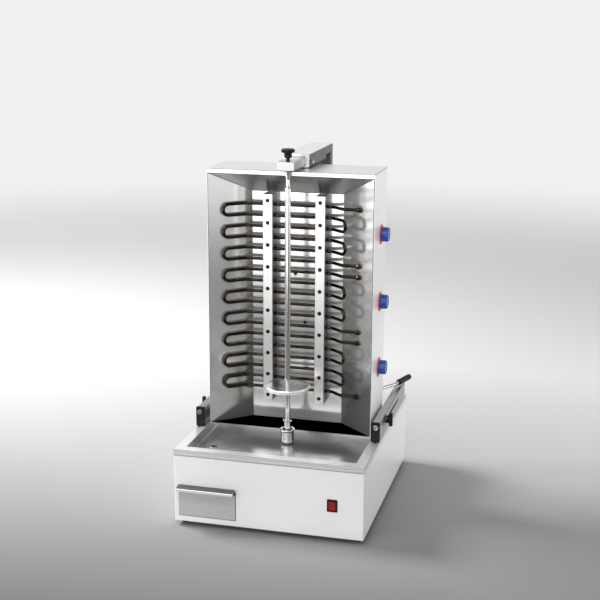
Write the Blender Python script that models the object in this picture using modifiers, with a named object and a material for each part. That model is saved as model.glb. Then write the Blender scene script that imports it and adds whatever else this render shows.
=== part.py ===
"""Vertical electric rotisserie: a spit on a motor in a base, in front of a sliding heater cabinet.

Metres, +Z up. X is the width, and +Y points to the rear. Below, a depth is measured back from the
front face of the base, and a height is measured up from the top of the base's rim, unless a comment
says otherwise. Every object hangs from the empty "frame", which puts the middle of the whole on the
origin, with the feet on Z = 0.
"""
import math

import bmesh
import bpy
from mathutils import Matrix, Vector

GAP = 0.0003                      # clearance between solids that touch
SHEET = 0.0015                    # folded sheet of the base
PANEL = 0.0010                    # folded sheet of the heater cabinet

# Base
BASE_WIDTH = 0.470
BASE_DEPTH = 0.564
RIM_Z = 0.195                     # top of the rim above the floor
FOOT_HEIGHT = 0.013
FOOT_RADIUS = 0.013
FOOT_X = 0.216
FOOT_FRONT = 0.035
FOOT_REAR = 0.529
LIP_DROP = 0.0143
PAN_HALF = 0.2087                 # half the inside width of the pan
PAN_FRONT = 0.0264
PAN_REAR = 0.385
PAN_DEPTH = 0.027
PAN_FLANGE = 0.008
DRAIN_X, DRAIN_Y = -0.168, 0.110

# Grease drawer
DRAWER_X0, DRAWER_X1 = -0.2217, -0.0798
DRAWER_Z0, DRAWER_Z1 = -0.1671, -0.0877
DRAWER_LENGTH = 0.211
PULL_REACH = 0.019
PULL_DROP = 0.0035
PULL_LIP = 0.0075

# Switch
SWITCH_X, SWITCH_Z = 0.158, -0.1017
SWITCH_WIDTH, SWITCH_HEIGHT = 0.025, 0.031
ROCKER_TILT = math.radians(6)

# Cable inlet in the rear wall
GLAND_X, GLAND_Z = 0.150, -0.140
GLAND_OUT = 0.013

# Spit and its drive
SPIT_Y = 0.184
SPIT_TOP = 0.613
SPIT_RADIUS = 0.007
COLLAR_RADIUS = 0.0086
COLLAR_TOP = 0.030
DISC_TOP = 0.124
DISC_RADIUS = 0.055
SOCKET_RADIUS = 0.0165
SOCKET_TOP = 0.0105
SHAFT_RADIUS = 0.005
GEARBOX_HEIGHT = 0.045

# Rails, brackets and clamps
RAIL_IN, RAIL_OUT = 0.2145, 0.2345
RAIL_FRONT, RAIL_REAR = 0.1768, 0.5270
RAIL_TOP = 0.048
SLOT_FRONT, SLOT_REAR = 0.2600, 0.4300
SLOT_Z = 0.030
SLOT_HALF = 0.0036
CLAMP_Y = 0.264
STUD_RADIUS = 0.003
BRACKET_HEIGHT = 0.0508
BRACKET_THICK = 0.005

# Heater cabinet
CABINET_HALF = 0.2066
CABINET_FRONT = 0.197
CABINET_REAR = 0.347
CABINET_BOTTOM = 0.003
CAP_BOTTOM, CAP_TOP = 0.6406, 0.6506
CAP_OVERHANG = 0.0016
WING_FRONT = Vector((0.2042, 0.1975))
WING_REAR = Vector((0.1160, 0.2757))
CEILING_FRONT, CEILING_REAR = 0.6395, 0.5893
BACK_HALF = 0.1155
BACK_Y = 0.2760

# Heating elements: three zones of six passes, held by two channels
CHANNEL_X = 0.066
CHANNEL_WIDTH = 0.025
CHANNEL_FRONT = 0.238
CHANNEL_BOTTOM, CHANNEL_TOP = 0.0634, 0.5868
WEB_HOLES = 10
WEB_HOLE_Z = 0.0764               # lowest hole
WEB_HOLE_RADIUS = 0.005
ELEMENT_Y = 0.256
ELEMENT_RADIUS = 0.004
PASS_PITCH = 0.0275
PASS_Z = 0.09265                  # lowest pass
PASSES_PER_ZONE = 6
ZONES = ("lower", "middle", "upper")
LEFT_KINK, LEFT_TIP = (-0.126, 0.256), (-0.172, 0.2168)
RIGHT_KINK, RIGHT_TIP = (0.095, 0.256), (0.132, 0.2226)
TERMINAL_TURN, TERMINAL_END = (0.124, 0.230), (0.185, 0.230)
NOTCH_HALF = 0.0046

# Heat knobs on the right side
KNOB_Y = 0.284
KNOB_Z = 0.1582
KNOB_STEP = 0.168
KNOB_RADIUS = 0.018
FLANGE_RADIUS = 0.025

# Push handles behind the cabinet
HANDLE_Z = 0.060
HANDLE_PATH = ((0.186, 0.3473), (0.186, 0.404), (0.219, 0.4555), (0.2463, 0.5385))
HANDLE_RADIUS = 0.004
GRIP_RADIUS = 0.0078

# Top arm
POST_HALF = 0.030
POST_FRONT, POST_REAR = 0.497, 0.522
ARM_BOTTOM, ARM_TOP = 0.6525, 0.6840
ARM_HALF = 0.032
ARM_FRONT, ARM_REAR = 0.262, 0.4372
BAR_HALF = 0.022
BAR_BOTTOM, BAR_TOP = 0.6565, 0.6775
BAR_FRONT, BAR_REAR = 0.158, 0.400
PIN_RADIUS = 0.00525
LOCK_Y, LOCK_Z = 0.277, 0.665

FRONT_Y = (PULL_REACH - BASE_DEPTH - GLAND_OUT) / 2

LOOKS = {
    "brushed_steel": ((0.62, 0.62, 0.61), 0.30, 1.0),
    "polished_steel": ((0.70, 0.70, 0.70), 0.12, 1.0),
    "chrome": ((0.78, 0.78, 0.78), 0.08, 1.0),
    "element_sheath": ((0.16, 0.13, 0.11), 0.45, 0.8),
    "black_steel": ((0.02, 0.02, 0.02), 0.45, 0.3),
    "black_plastic": ((0.02, 0.02, 0.02), 0.50, 0.0),
    "red_plastic": ((0.65, 0.05, 0.04), 0.35, 0.0),
    "blue_plastic": ((0.02, 0.09, 0.42), 0.35, 0.0),
    "black_rubber": ((0.02, 0.02, 0.02), 0.80, 0.0),
    "motor_paint": ((0.25, 0.26, 0.27), 0.60, 0.4),
}


def clear_scene():
    for obj in list(bpy.data.objects):
        bpy.data.objects.remove(obj, do_unlink=True)


def new_collection(name):
    collection = bpy.data.collections.new(name)
    bpy.context.scene.collection.children.link(collection)
    return collection


def make_look(name):
    color, roughness, metallic = LOOKS[name]
    look = bpy.data.materials.new(name)
    look.use_nodes = True
    shader = look.node_tree.nodes["Principled BSDF"]
    shader.inputs["Base Color"].default_value = (*color, 1)
    shader.inputs["Roughness"].default_value = roughness
    shader.inputs["Metallic"].default_value = metallic
    return look


clear_scene()
PARTS = new_collection("vertical_rotisserie")
CUTTERS = new_collection("cutters")
MATERIALS = {name: make_look(name) for name in LOOKS}
FRAME = bpy.data.objects.new("frame", None)
FRAME.location = (0, FRONT_Y, RIM_Z)
PARTS.objects.link(FRAME)


# ---------------------------------------------------------------- shapes

def mesh_object(name, bm):
    mesh = bpy.data.meshes.new(name)
    bm.to_mesh(mesh)
    bm.free()
    return bpy.data.objects.new(name, mesh)


def block(name, low, high):
    """A box from its low corner to its high corner."""
    low, high = Vector(low), Vector(high)
    bm = bmesh.new()
    size = Matrix.Diagonal((*(high - low), 1))
    bmesh.ops.create_cube(bm, size=1, matrix=Matrix.Translation((low + high) / 2) @ size)
    return mesh_object(name, bm)


def solid_from_curve(curve_object):
    """The curve's evaluated mesh with its caps welded on, as an object of its own."""
    bpy.context.scene.collection.objects.link(curve_object)
    evaluated = curve_object.evaluated_get(bpy.context.evaluated_depsgraph_get())
    bm = bmesh.new()
    bm.from_mesh(bpy.data.meshes.new_from_object(evaluated))
    bmesh.ops.remove_doubles(bm, verts=bm.verts, dist=1e-6)
    bmesh.ops.recalc_face_normals(bm, faces=bm.faces)
    bm.transform(curve_object.matrix_world)
    name = curve_object.name
    bpy.data.objects.remove(curve_object)
    return mesh_object(name, bm)


def plate(name, outline, thickness, matrix):
    """A flat outline, extruded by its thickness along the matrix's third axis."""
    curve = bpy.data.curves.new(name, "CURVE")
    curve.dimensions = "2D"
    curve.fill_mode = "BOTH"
    curve.extrude = thickness / 2
    spline = curve.splines.new("POLY")
    spline.points.add(len(outline) - 1)
    for point, place in zip(spline.points, outline):
        point.co = (*place, 0, 1)
    spline.use_cyclic_u = True
    obj = bpy.data.objects.new(name, curve)
    obj.matrix_world = matrix @ Matrix.Translation((0, 0, thickness / 2))
    return solid_from_curve(obj)


def upright(name, outline, low, high):
    """An outline in X and Y, extruded up from one height to another."""
    return plate(name, outline, high - low, Matrix.Translation((0, 0, low)))


def axes_matrix(x_axis, y_axis, origin):
    x_axis, y_axis = Vector(x_axis).normalized(), Vector(y_axis).normalized()
    columns = Matrix((x_axis, y_axis, x_axis.cross(y_axis))).transposed()
    return Matrix.Translation(origin) @ columns.to_4x4()


def tube(name, points, radius):
    curve = bpy.data.curves.new(name, "CURVE")
    curve.dimensions = "3D"
    curve.bevel_depth = radius
    curve.bevel_resolution = 2
    curve.use_fill_caps = True
    spline = curve.splines.new("POLY")
    spline.points.add(len(points) - 1)
    for point, place in zip(spline.points, points):
        point.co = (*place, 1)
    return solid_from_curve(bpy.data.objects.new(name, curve))


def turned(name, profile, place, axis="Z", steps=24, ring=False):
    """A profile of (radius, height) pairs, turned about an axis through place.

    The profile runs from the top to the bottom of the outer side. A ring's profile closes on
    itself, and any other starts and ends on the axis.
    """
    bm = bmesh.new()
    verts = [bm.verts.new((radius, 0, height)) for radius, height in profile]
    pairs = list(zip(verts, verts[1:]))
    if ring:
        pairs.append((verts[-1], verts[0]))
    for pair in pairs:
        bm.edges.new(pair)
    obj = mesh_object(name, bm)
    screw = obj.modifiers.new("turn", "SCREW")
    screw.steps = screw.render_steps = steps
    screw.use_merge_vertices = True
    screw.merge_threshold = 0.00001
    obj.location = place
    turns = {"Z": (0, 0, 0), "X": (0, math.pi / 2, 0), "-X": (0, -math.pi / 2, 0),
             "Y": (-math.pi / 2, 0, 0), "-Y": (math.pi / 2, 0, 0)}
    obj.rotation_euler = turns[axis]
    return obj


def rod(name, start, length, radius, axis="Z", steps=24):
    profile = ((0, length), (radius, length), (radius, 0), (0, 0))
    return turned(name, profile, start, axis, steps)


def rounded(points, radii, steps=5):
    """A path with an arc of the given radius at each inner corner."""
    points = [Vector(point) for point in points]
    path = [points[0]]
    for before, corner, after, radius in zip(points, points[1:], points[2:], radii):
        to_before = (before - corner).normalized()
        to_after = (after - corner).normalized()
        half = to_before.angle(to_after) / 2
        centre = corner + (to_before + to_after).normalized() * radius / math.sin(half)
        start = corner + to_before * radius / math.tan(half) - centre
        end = corner + to_after * radius / math.tan(half) - centre
        sweep = start.angle(end)
        side = (end - start * math.cos(sweep)) / math.sin(sweep)
        for step in range(steps + 1):
            angle = sweep * step / steps
            path.append(centre + start * math.cos(angle) + side * math.sin(angle))
    path.append(points[-1])
    return path


# ---------------------------------------------------------------- objects

def part(obj, look, origin=None):
    """Keep a shape as a sub-part, with its origin on the joint's axis where one is given."""
    PARTS.objects.link(obj)
    if origin is not None:
        obj.data.transform(Matrix.Translation(-Vector(origin)))
        obj.location = origin
    obj.parent = FRAME
    obj.data.materials.append(MATERIALS[look])
    obj.data.shade_smooth()
    obj.data.set_sharp_from_angle(angle=math.radians(35))
    return obj


def tool(obj):
    """Keep a shape for Booleans only."""
    CUTTERS.objects.link(obj)
    obj.parent = FRAME
    obj.hide_render = True
    obj.display_type = "WIRE"
    return obj


def boolean(obj, other, operation):
    modifier = obj.modifiers.new(operation.lower(), "BOOLEAN")
    modifier.operation = operation
    modifier.solver = "EXACT"
    modifier.object = tool(other)


def cut(obj, other):
    boolean(obj, other, "DIFFERENCE")


def join(obj, other):
    boolean(obj, other, "UNION")


def merged(name, shapes):
    """Shapes that don't meet, as one cutter."""
    bm = bmesh.new()
    for shape in shapes:
        bm.from_mesh(shape.data)
        bpy.data.objects.remove(shape)
    return mesh_object(name, bm)


def side_name(base, side):
    return base + ("_right" if side > 0 else "_left")


# ---------------------------------------------------------------- base

def build_base_housing():
    half = BASE_WIDTH / 2 - SHEET - GAP
    front, rear = SHEET + GAP, BASE_DEPTH - SHEET - GAP
    bottom, top = FOOT_HEIGHT - RIM_Z, -SHEET - GAP
    housing = part(block("base_housing", (-half, front, bottom), (half, rear, top)), "brushed_steel")
    inner = half - SHEET
    cut(housing, block("housing_inside", (-inner, front + SHEET, bottom - 0.01),
                       (inner, rear - SHEET, top + 0.01)))
    cut(housing, block("drawer_opening", (DRAWER_X0 + 0.0017, -0.01, DRAWER_Z0 + 0.0041),
                       (DRAWER_X1 - 0.0017, 0.01, DRAWER_Z1 - 0.0073)))
    width, height = SWITCH_WIDTH / 2 - 0.0015, SWITCH_HEIGHT / 2 - 0.0015
    cut(housing, block("switch_opening", (SWITCH_X - width, -0.01, SWITCH_Z - height),
                       (SWITCH_X + width, 0.01, SWITCH_Z + height)))
    cut(housing, rod("gland_opening", (GLAND_X, rear - 0.01, GLAND_Z), 0.02, 0.0083, "Y"))


def build_bottom_plate():
    half = BASE_WIDTH / 2 - 2 * SHEET - 2 * GAP
    low = FOOT_HEIGHT + 0.0005 - RIM_Z
    edge = 2 * (SHEET + GAP)
    part(block("base_bottom_plate", (-half, edge, low), (half, BASE_DEPTH - edge, low + SHEET)),
         "brushed_steel")


def build_rim_frame():
    half = BASE_WIDTH / 2
    rim = part(block("rim_frame", (-half, 0, -LIP_DROP), (half, BASE_DEPTH, 0)), "brushed_steel")
    cut(rim, block("rim_inside", (SHEET - half, SHEET, -LIP_DROP - 0.01),
                   (half - SHEET, BASE_DEPTH - SHEET, -SHEET)))
    cut(rim, block("rim_opening", (-PAN_HALF, PAN_FRONT, -0.01), (PAN_HALF, PAN_REAR, 0.01)))


def build_drip_pan():
    wall = PAN_HALF + SHEET
    flange = wall + PAN_FLANGE
    top = -SHEET - GAP
    pan = part(block("drip_pan", (-wall, PAN_FRONT - SHEET, -PAN_DEPTH - SHEET),
                     (wall, PAN_REAR + SHEET, top - SHEET / 2)), "polished_steel")
    join(pan, block("pan_flange", (-flange, PAN_FRONT - SHEET - PAN_FLANGE, top - SHEET),
                    (flange, PAN_REAR + SHEET + PAN_FLANGE, top)))
    cut(pan, block("pan_inside", (-PAN_HALF, PAN_FRONT, -PAN_DEPTH), (PAN_HALF, PAN_REAR, 0.01)))
    below = -PAN_DEPTH - 0.01
    cut(pan, rod("pan_shaft_hole", (0, SPIT_Y, below), 0.02, SHAFT_RADIUS + 0.0015))
    cut(pan, rod("pan_drain_hole", (DRAIN_X, DRAIN_Y, below), 0.02, 0.0075))


def build_drain_collar():
    seat = -PAN_DEPTH + GAP
    profile = ((0.0058, seat + 0.0015), (0.0090, seat + 0.0015), (0.0090, seat), (0.0070, seat),
               (0.0070, -0.050), (0.0058, -0.050))
    part(turned("drain_collar", profile, (DRAIN_X, DRAIN_Y, 0), steps=20, ring=True), "polished_steel")


def build_feet():
    profile = ((0, FOOT_HEIGHT + 0.0002), (FOOT_RADIUS, FOOT_HEIGHT + 0.0002), (FOOT_RADIUS, 0.004),
               (FOOT_RADIUS - 0.002, 0), (0, 0))
    for side in (-1, 1):
        for name, depth in (("foot_front", FOOT_FRONT), ("foot_rear", FOOT_REAR)):
            place = (side * FOOT_X, depth, -RIM_Z)
            part(turned(side_name(name, side), profile, place, steps=20), "black_rubber")


# ---------------------------------------------------------------- grease drawer

def build_drawer():
    face = 0.0015
    low = (DRAWER_X0 + 0.0032, SHEET + GAP, DRAWER_Z0 + 0.0056)
    high = (DRAWER_X1 - 0.0032, SHEET + GAP + DRAWER_LENGTH, DRAWER_Z1 - 0.0093)
    box = part(block("drawer_box", low, high), "brushed_steel")
    inset = Vector((0.0012, 0.0012, 0.0012))
    inside_top = Vector(high) + Vector((-0.0012, -0.0012, 0.01))
    cut(box, block("drawer_inside", Vector(low) + inset, inside_top))
    # The front is one sheet, whose top edge is bent forward and down into the pull.
    profile = ((face, DRAWER_Z0), (face, DRAWER_Z1), (0, DRAWER_Z1), (-PULL_REACH, DRAWER_Z1 - PULL_DROP),
               (-PULL_REACH, DRAWER_Z1 - PULL_DROP - PULL_LIP),
               (SHEET - PULL_REACH, DRAWER_Z1 - PULL_DROP - PULL_LIP),
               (SHEET - PULL_REACH, DRAWER_Z1 - PULL_DROP - SHEET), (0, DRAWER_Z1 - SHEET), (0, DRAWER_Z0))
    matrix = axes_matrix((0, 1, 0), (0, 0, 1), (DRAWER_X0, 0, 0))
    part(plate("drawer_front", profile, DRAWER_X1 - DRAWER_X0, matrix), "brushed_steel")


def build_runners():
    """A shelf on an upright at each side of the drawer, standing on the bottom plate."""
    middle = (DRAWER_X0 + DRAWER_X1) / 2
    floor = FOOT_HEIGHT + 0.0005 + SHEET + GAP - RIM_Z
    shelf = DRAWER_Z0 + 0.0050
    outside, inside = 0.0711, 0.0593
    for side in (-1, 1):
        outline = [(middle + side * x, z) for x, z in (
            (outside, floor), (outside, shelf + 0.019), (outside - 0.0012, shelf + 0.019),
            (outside - 0.0012, shelf), (inside, shelf), (inside, shelf - 0.0012),
            (outside - 0.0012, shelf - 0.0012), (outside - 0.0012, floor))]
        matrix = axes_matrix((1, 0, 0), (0, 0, 1), (0, 0.215, 0))
        part(plate(side_name("drawer_runner", side), outline, 0.2110, matrix), "brushed_steel")


# ---------------------------------------------------------------- switch and cable inlet

def build_switch():
    half_x, half_z = SWITCH_WIDTH / 2, SWITCH_HEIGHT / 2
    bezel = part(block("switch_bezel", (SWITCH_X - half_x, -0.0005, SWITCH_Z - half_z),
                       (SWITCH_X + half_x, 0.0015, SWITCH_Z + half_z)), "black_plastic")
    join(bezel, block("switch_body", (SWITCH_X - half_x + 0.002, 0.0005, SWITCH_Z - half_z + 0.002),
                      (SWITCH_X + half_x - 0.002, 0.022, SWITCH_Z + half_z - 0.002)))
    cut(bezel, block("switch_cavity", (SWITCH_X - 0.0092, -0.01, SWITCH_Z - 0.0123),
                     (SWITCH_X + 0.0092, 0.0125, SWITCH_Z + 0.0123)))
    pivot = (SWITCH_X, 0.0015, SWITCH_Z)
    rocker = block("switch_rocker", (SWITCH_X - 0.0086, -0.0030, SWITCH_Z - 0.0113),
                   (SWITCH_X + 0.0086, 0.0050, SWITCH_Z + 0.0113))
    part(rocker, "red_plastic", pivot).rotation_euler.x = ROCKER_TILT


def build_cable_gland():
    rear = BASE_DEPTH - SHEET - GAP
    profile = ((0.0042, GLAND_OUT + SHEET + GAP), (0.0095, GLAND_OUT + SHEET + GAP),
               (0.0120, GLAND_OUT - 0.005), (0.0120, GAP), (0.0080, GAP), (0.0080, -0.012),
               (0.0042, -0.012))
    part(turned("cable_gland", profile, (GLAND_X, rear, GLAND_Z), "Y", 20, ring=True), "black_plastic")


# ---------------------------------------------------------------- drive

def build_drive():
    bearing_top = -PAN_DEPTH - SHEET - GAP
    bearing_bottom = bearing_top - 0.008
    ring = ((SHAFT_RADIUS + 0.0004, bearing_top), (0.024, bearing_top), (0.024, bearing_bottom),
            (SHAFT_RADIUS + 0.0004, bearing_bottom))
    part(turned("bearing_flange", ring, (0, SPIT_Y, 0), ring=True), "black_steel")
    top = bearing_bottom - GAP
    gearbox = part(block("gearbox", (-0.035, SPIT_Y - 0.035, top - GEARBOX_HEIGHT),
                         (0.045, SPIT_Y + 0.035, top)), "motor_paint")
    cut(gearbox, rod("gearbox_bore", (0, SPIT_Y, top - 0.015), 0.02, SHAFT_RADIUS + 0.0004))
    middle = top - GEARBOX_HEIGHT / 2
    motor = ((0, 0.070), (0.014, 0.070), (0.024, 0.064), (0.026, 0.060), (0.026, 0.006), (0.018, 0.0003),
             (0, 0.0003))
    part(turned("motor_body", motor, (0.045, SPIT_Y, middle), "X"), "motor_paint")
    shaft_bottom = top - 0.0145
    shaft_top = -PAN_DEPTH + 0.0082
    part(rod("output_shaft", (0, SPIT_Y, shaft_bottom), shaft_top - shaft_bottom, SHAFT_RADIUS), "chrome")


def build_spit_socket():
    seat = -PAN_DEPTH + 0.0005
    cup, bore = COLLAR_RADIUS + 0.0004, SHAFT_RADIUS + 0.0004
    profile = ((0, -0.012), (cup, -0.012), (cup, 0.004), (0.0130, SOCKET_TOP), (0.0185, SOCKET_TOP),
               (0.0185, SOCKET_TOP - 0.003), (SOCKET_RADIUS, SOCKET_TOP - 0.006), (SOCKET_RADIUS, seat + 0.0045),
               (SOCKET_RADIUS - 0.002, seat + 0.0035), (SOCKET_RADIUS - 0.002, seat), (bore, seat),
               (bore, seat + 0.0082), (0, seat + 0.0082))
    part(turned("spit_socket", profile, (0, SPIT_Y, 0), steps=28), "chrome")


def build_spit():
    profile = ((0, SPIT_TOP), (SPIT_RADIUS - 0.001, SPIT_TOP), (SPIT_RADIUS, SPIT_TOP - 0.001),
               (SPIT_RADIUS, COLLAR_TOP + 0.001), (COLLAR_RADIUS, COLLAR_TOP), (COLLAR_RADIUS, -0.0105),
               (COLLAR_RADIUS - 0.0012, -0.0117), (0, -0.0117))
    part(turned("spit_rod", profile, (0, SPIT_Y, 0), steps=20), "polished_steel")
    bore, rim, hub = SPIT_RADIUS + GAP, DISC_RADIUS, 0.013
    disc = ((bore, DISC_TOP - 0.0010), (rim - 0.004, DISC_TOP - 0.0015), (rim - 0.0015, DISC_TOP),
            (rim, DISC_TOP - 0.001), (rim, DISC_TOP - 0.008), (rim - 0.001, DISC_TOP - 0.009),
            (rim - 0.003, DISC_TOP - 0.009), (rim - 0.005, DISC_TOP - 0.005), (hub, DISC_TOP - 0.005),
            (hub, DISC_TOP - 0.014), (bore, DISC_TOP - 0.014))
    part(turned("meat_disc", disc, (0, SPIT_Y, 0), steps=40, ring=True), "polished_steel")


# ---------------------------------------------------------------- rails and clamps

def build_rail(side):
    low, high = sorted((side * RAIL_IN, side * RAIL_OUT))
    rail = part(block(side_name("rail", side), (low, RAIL_FRONT, GAP), (high, RAIL_REAR, RAIL_TOP)),
                "brushed_steel")
    cut(rail, block(side_name("rail_inside", side), (low + SHEET, RAIL_FRONT - 0.01, -0.01),
                    (high - SHEET, RAIL_REAR + 0.01, RAIL_TOP - SHEET)))
    cut(rail, block(side_name("rail_slot", side), (low - 0.01, SLOT_FRONT, SLOT_Z - SLOT_HALF),
                    (high + 0.01, SLOT_REAR, SLOT_Z + SLOT_HALF)))


def build_rail_bracket(side):
    low, high = sorted((side * 0.2129, side * 0.2352))
    rear = RAIL_FRONT - GAP
    front = rear - BRACKET_THICK
    part(block(side_name("rail_bracket", side), (low, front, GAP), (high, rear, BRACKET_HEIGHT)),
         "black_steel")
    bolt = ((0, 0.0075), (0.0035, 0.0075), (0.0050, 0.0065), (0.0050, 0.0020), (0.0062, 0.0018),
            (0.0062, 0.0003), (0, 0.0003))
    part(turned(side_name("bracket_bolt", side), bolt, (side * 0.2255, front, 0.038), "-Y", 12), "chrome")


def build_clamp_knob(side):
    """A stud through both walls of the rail, with a hub and a wing outside."""
    inner = CABINET_HALF + GAP
    seat = RAIL_OUT + GAP - inner
    profile = ((0, seat + 0.0105), (0.0085, seat + 0.0105), (0.0095, seat + 0.0095), (0.0095, seat),
               (STUD_RADIUS, seat), (STUD_RADIUS, 0), (0, 0))
    axis = "X" if side > 0 else "-X"
    place = (side * inner, CLAMP_Y, SLOT_Z)
    knob = part(turned(side_name("clamp_knob", side), profile, place, axis, 20), "black_plastic")
    low, high = sorted((side * (inner + seat + 0.0085), side * (inner + seat + 0.0150)))
    join(knob, block(side_name("clamp_wing", side), (low, CLAMP_Y - 0.0045, SLOT_Z - 0.018),
                     (high, CLAMP_Y + 0.0045, SLOT_Z + 0.018)))


# ---------------------------------------------------------------- heater cabinet

def wing_normal():
    """The outward normal of the right wing, in X and Y."""
    along = (WING_REAR - WING_FRONT).normalized()
    return Vector((along.y, -along.x))


def build_cabinet_shell():
    outer, inner = CABINET_HALF, CABINET_HALF - PANEL
    outline = ((-outer, CABINET_FRONT), (-outer, CABINET_REAR), (outer, CABINET_REAR), (outer, CABINET_FRONT),
               (inner, CABINET_FRONT), (inner, CABINET_REAR - PANEL), (-inner, CABINET_REAR - PANEL),
               (-inner, CABINET_FRONT))
    shell = part(upright("cabinet_shell", outline, CABINET_BOTTOM, CAP_TOP - PANEL - GAP), "brushed_steel")
    # The floor fills the space behind the wings and the back panel.
    offset = wing_normal() * (PANEL + 2 * GAP)
    front, rear = WING_FRONT + offset, WING_REAR + offset
    wall = CABINET_HALF - PANEL / 2
    behind = BACK_Y + PANEL + GAP
    right = ((wall, front.y), (wall, CABINET_REAR - PANEL / 2))
    floor = (*right, *((-x, y) for x, y in reversed(right)), (-front.x, front.y), (-rear.x, behind),
             (rear.x, behind), (front.x, front.y))
    join(shell, upright("cabinet_floor", floor, CABINET_BOTTOM + 0.0006, CABINET_BOTTOM + 0.0018))
    for number in range(len(ZONES)):
        place = (CABINET_HALF - 0.005, KNOB_Y, KNOB_Z + number * KNOB_STEP)
        cut(shell, rod(f"knob_hole_{number}", place, 0.01, 0.004, "X", 12))


def build_cabinet_cap():
    half = CABINET_HALF + CAP_OVERHANG
    front, rear = CABINET_FRONT - 0.0015, CABINET_REAR + 0.0015
    cap = part(block("cabinet_cap", (-half, front, CAP_BOTTOM), (half, rear, CAP_TOP)), "brushed_steel")
    cut(cap, block("cap_inside", (0.0012 - half, front + 0.0012, CAP_BOTTOM - 0.01),
                   (half - 0.0012, rear - 0.0012, CAP_TOP - PANEL)))


def build_wing(side):
    """A slanted side panel, whose top edge follows the slope of the ceiling."""
    length = (WING_REAR - WING_FRONT).length
    bottom = CABINET_BOTTOM + 0.0006
    outline = ((0, bottom), (length, bottom), (length, CEILING_REAR - 0.0008),
               (0, CEILING_FRONT - 0.0010))
    along = WING_REAR - WING_FRONT
    matrix = axes_matrix((side * along.x, along.y, 0), (0, 0, 1),
                         (side * WING_FRONT.x, WING_FRONT.y, 0))
    if side < 0:
        matrix = matrix @ Matrix.Translation((0, 0, -PANEL))
    wing = part(plate(side_name("wing", side), outline, PANEL, matrix), "polished_steel")
    if side > 0:
        heights = [PASS_Z + PASS_PITCH * number for zone in range(len(ZONES))
                   for number in (zone * PASSES_PER_ZONE, zone * PASSES_PER_ZONE + PASSES_PER_ZONE - 1)]
        for number, height in enumerate(heights):
            place = (TERMINAL_END[0] - 0.05, TERMINAL_END[1], height)
            cut(wing, rod(f"terminal_hole_{number}", place, 0.06, ELEMENT_RADIUS + 0.0005, "X", 12))


def build_ceiling():
    slope = Vector((0, WING_REAR.y - CABINET_FRONT - 0.0003, CEILING_REAR - CEILING_FRONT))
    wide, narrow = CABINET_HALF - PANEL - 0.0008, WING_REAR.x
    outline = ((-wide, 0), (wide, 0), (narrow, slope.length), (-narrow, slope.length))
    matrix = axes_matrix((1, 0, 0), slope, (0, CABINET_FRONT + 0.0003, CEILING_FRONT))
    part(plate("ceiling_panel", outline, PANEL, matrix), "polished_steel")


def build_back_panel():
    part(block("back_panel", (-BACK_HALF, BACK_Y, CABINET_BOTTOM + 0.0006),
               (BACK_HALF, BACK_Y + PANEL, CEILING_REAR - 0.0008)), "polished_steel")


def build_channel(side):
    """A channel with holes in its web and a notch in its flanges for each pass."""
    centre, half, wall = side * CHANNEL_X, CHANNEL_WIDTH / 2, 0.0012
    rear = BACK_Y - GAP
    outline = [(centre + x, y) for x, y in (
        (-half, CHANNEL_FRONT), (half, CHANNEL_FRONT), (half, rear), (half - wall, rear),
        (half - wall, CHANNEL_FRONT + wall), (wall - half, CHANNEL_FRONT + wall), (wall - half, rear),
        (-half, rear))]
    channel = part(upright(side_name("element_channel", side), outline, CHANNEL_BOTTOM, CHANNEL_TOP),
                   "polished_steel")
    notches = [block("notch", (centre - 0.02, ELEMENT_Y - NOTCH_HALF, height - NOTCH_HALF),
                     (centre + 0.02, rear + 0.01, height + NOTCH_HALF))
               for height in (PASS_Z + PASS_PITCH * number for number in range(len(ZONES) * PASSES_PER_ZONE))]
    cut(channel, merged(side_name("notches", side), notches))
    holes = []
    for number in range(WEB_HOLES):
        bm = bmesh.new()
        place = Matrix.Translation((centre, CHANNEL_FRONT, WEB_HOLE_Z + 2 * PASS_PITCH * number))
        bmesh.ops.create_cone(bm, cap_ends=True, segments=12, radius1=WEB_HOLE_RADIUS,
                              radius2=WEB_HOLE_RADIUS, depth=0.01,
                              matrix=place @ Matrix.Rotation(math.pi / 2, 4, "X"))
        holes.append(mesh_object("hole", bm))
    cut(channel, merged(side_name("web_holes", side), holes))


def build_element(zone):
    """One tube: six passes, three bends on the left, two on the right, and two ends."""
    first = PASS_Z + zone * PASSES_PER_ZONE * PASS_PITCH
    heights = [first + PASS_PITCH * number for number in range(PASSES_PER_ZONE)]
    bend = PASS_PITCH / 2
    points = [(*TERMINAL_END, heights[0]), (*TERMINAL_TURN, heights[0]), (*RIGHT_KINK, heights[0])]
    radii = [0.010, 0.012]
    for number, (lower, upper) in enumerate(zip(heights, heights[1:])):
        kink, tip = (LEFT_KINK, LEFT_TIP) if number % 2 == 0 else (RIGHT_KINK, RIGHT_TIP)
        points += [(*kink, lower), (*tip, lower), (*tip, upper), (*kink, upper)]
        radii += [0.012, bend * 0.999, bend * 0.999, 0.012]
    points += [(*RIGHT_KINK, heights[-1]), (*TERMINAL_TURN, heights[-1]), (*TERMINAL_END, heights[-1])]
    radii += [0.012, 0.010]
    path = rounded(points, radii, steps=4)
    part(tube("heating_element_" + ZONES[zone], path, ELEMENT_RADIUS), "element_sheath")


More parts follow.
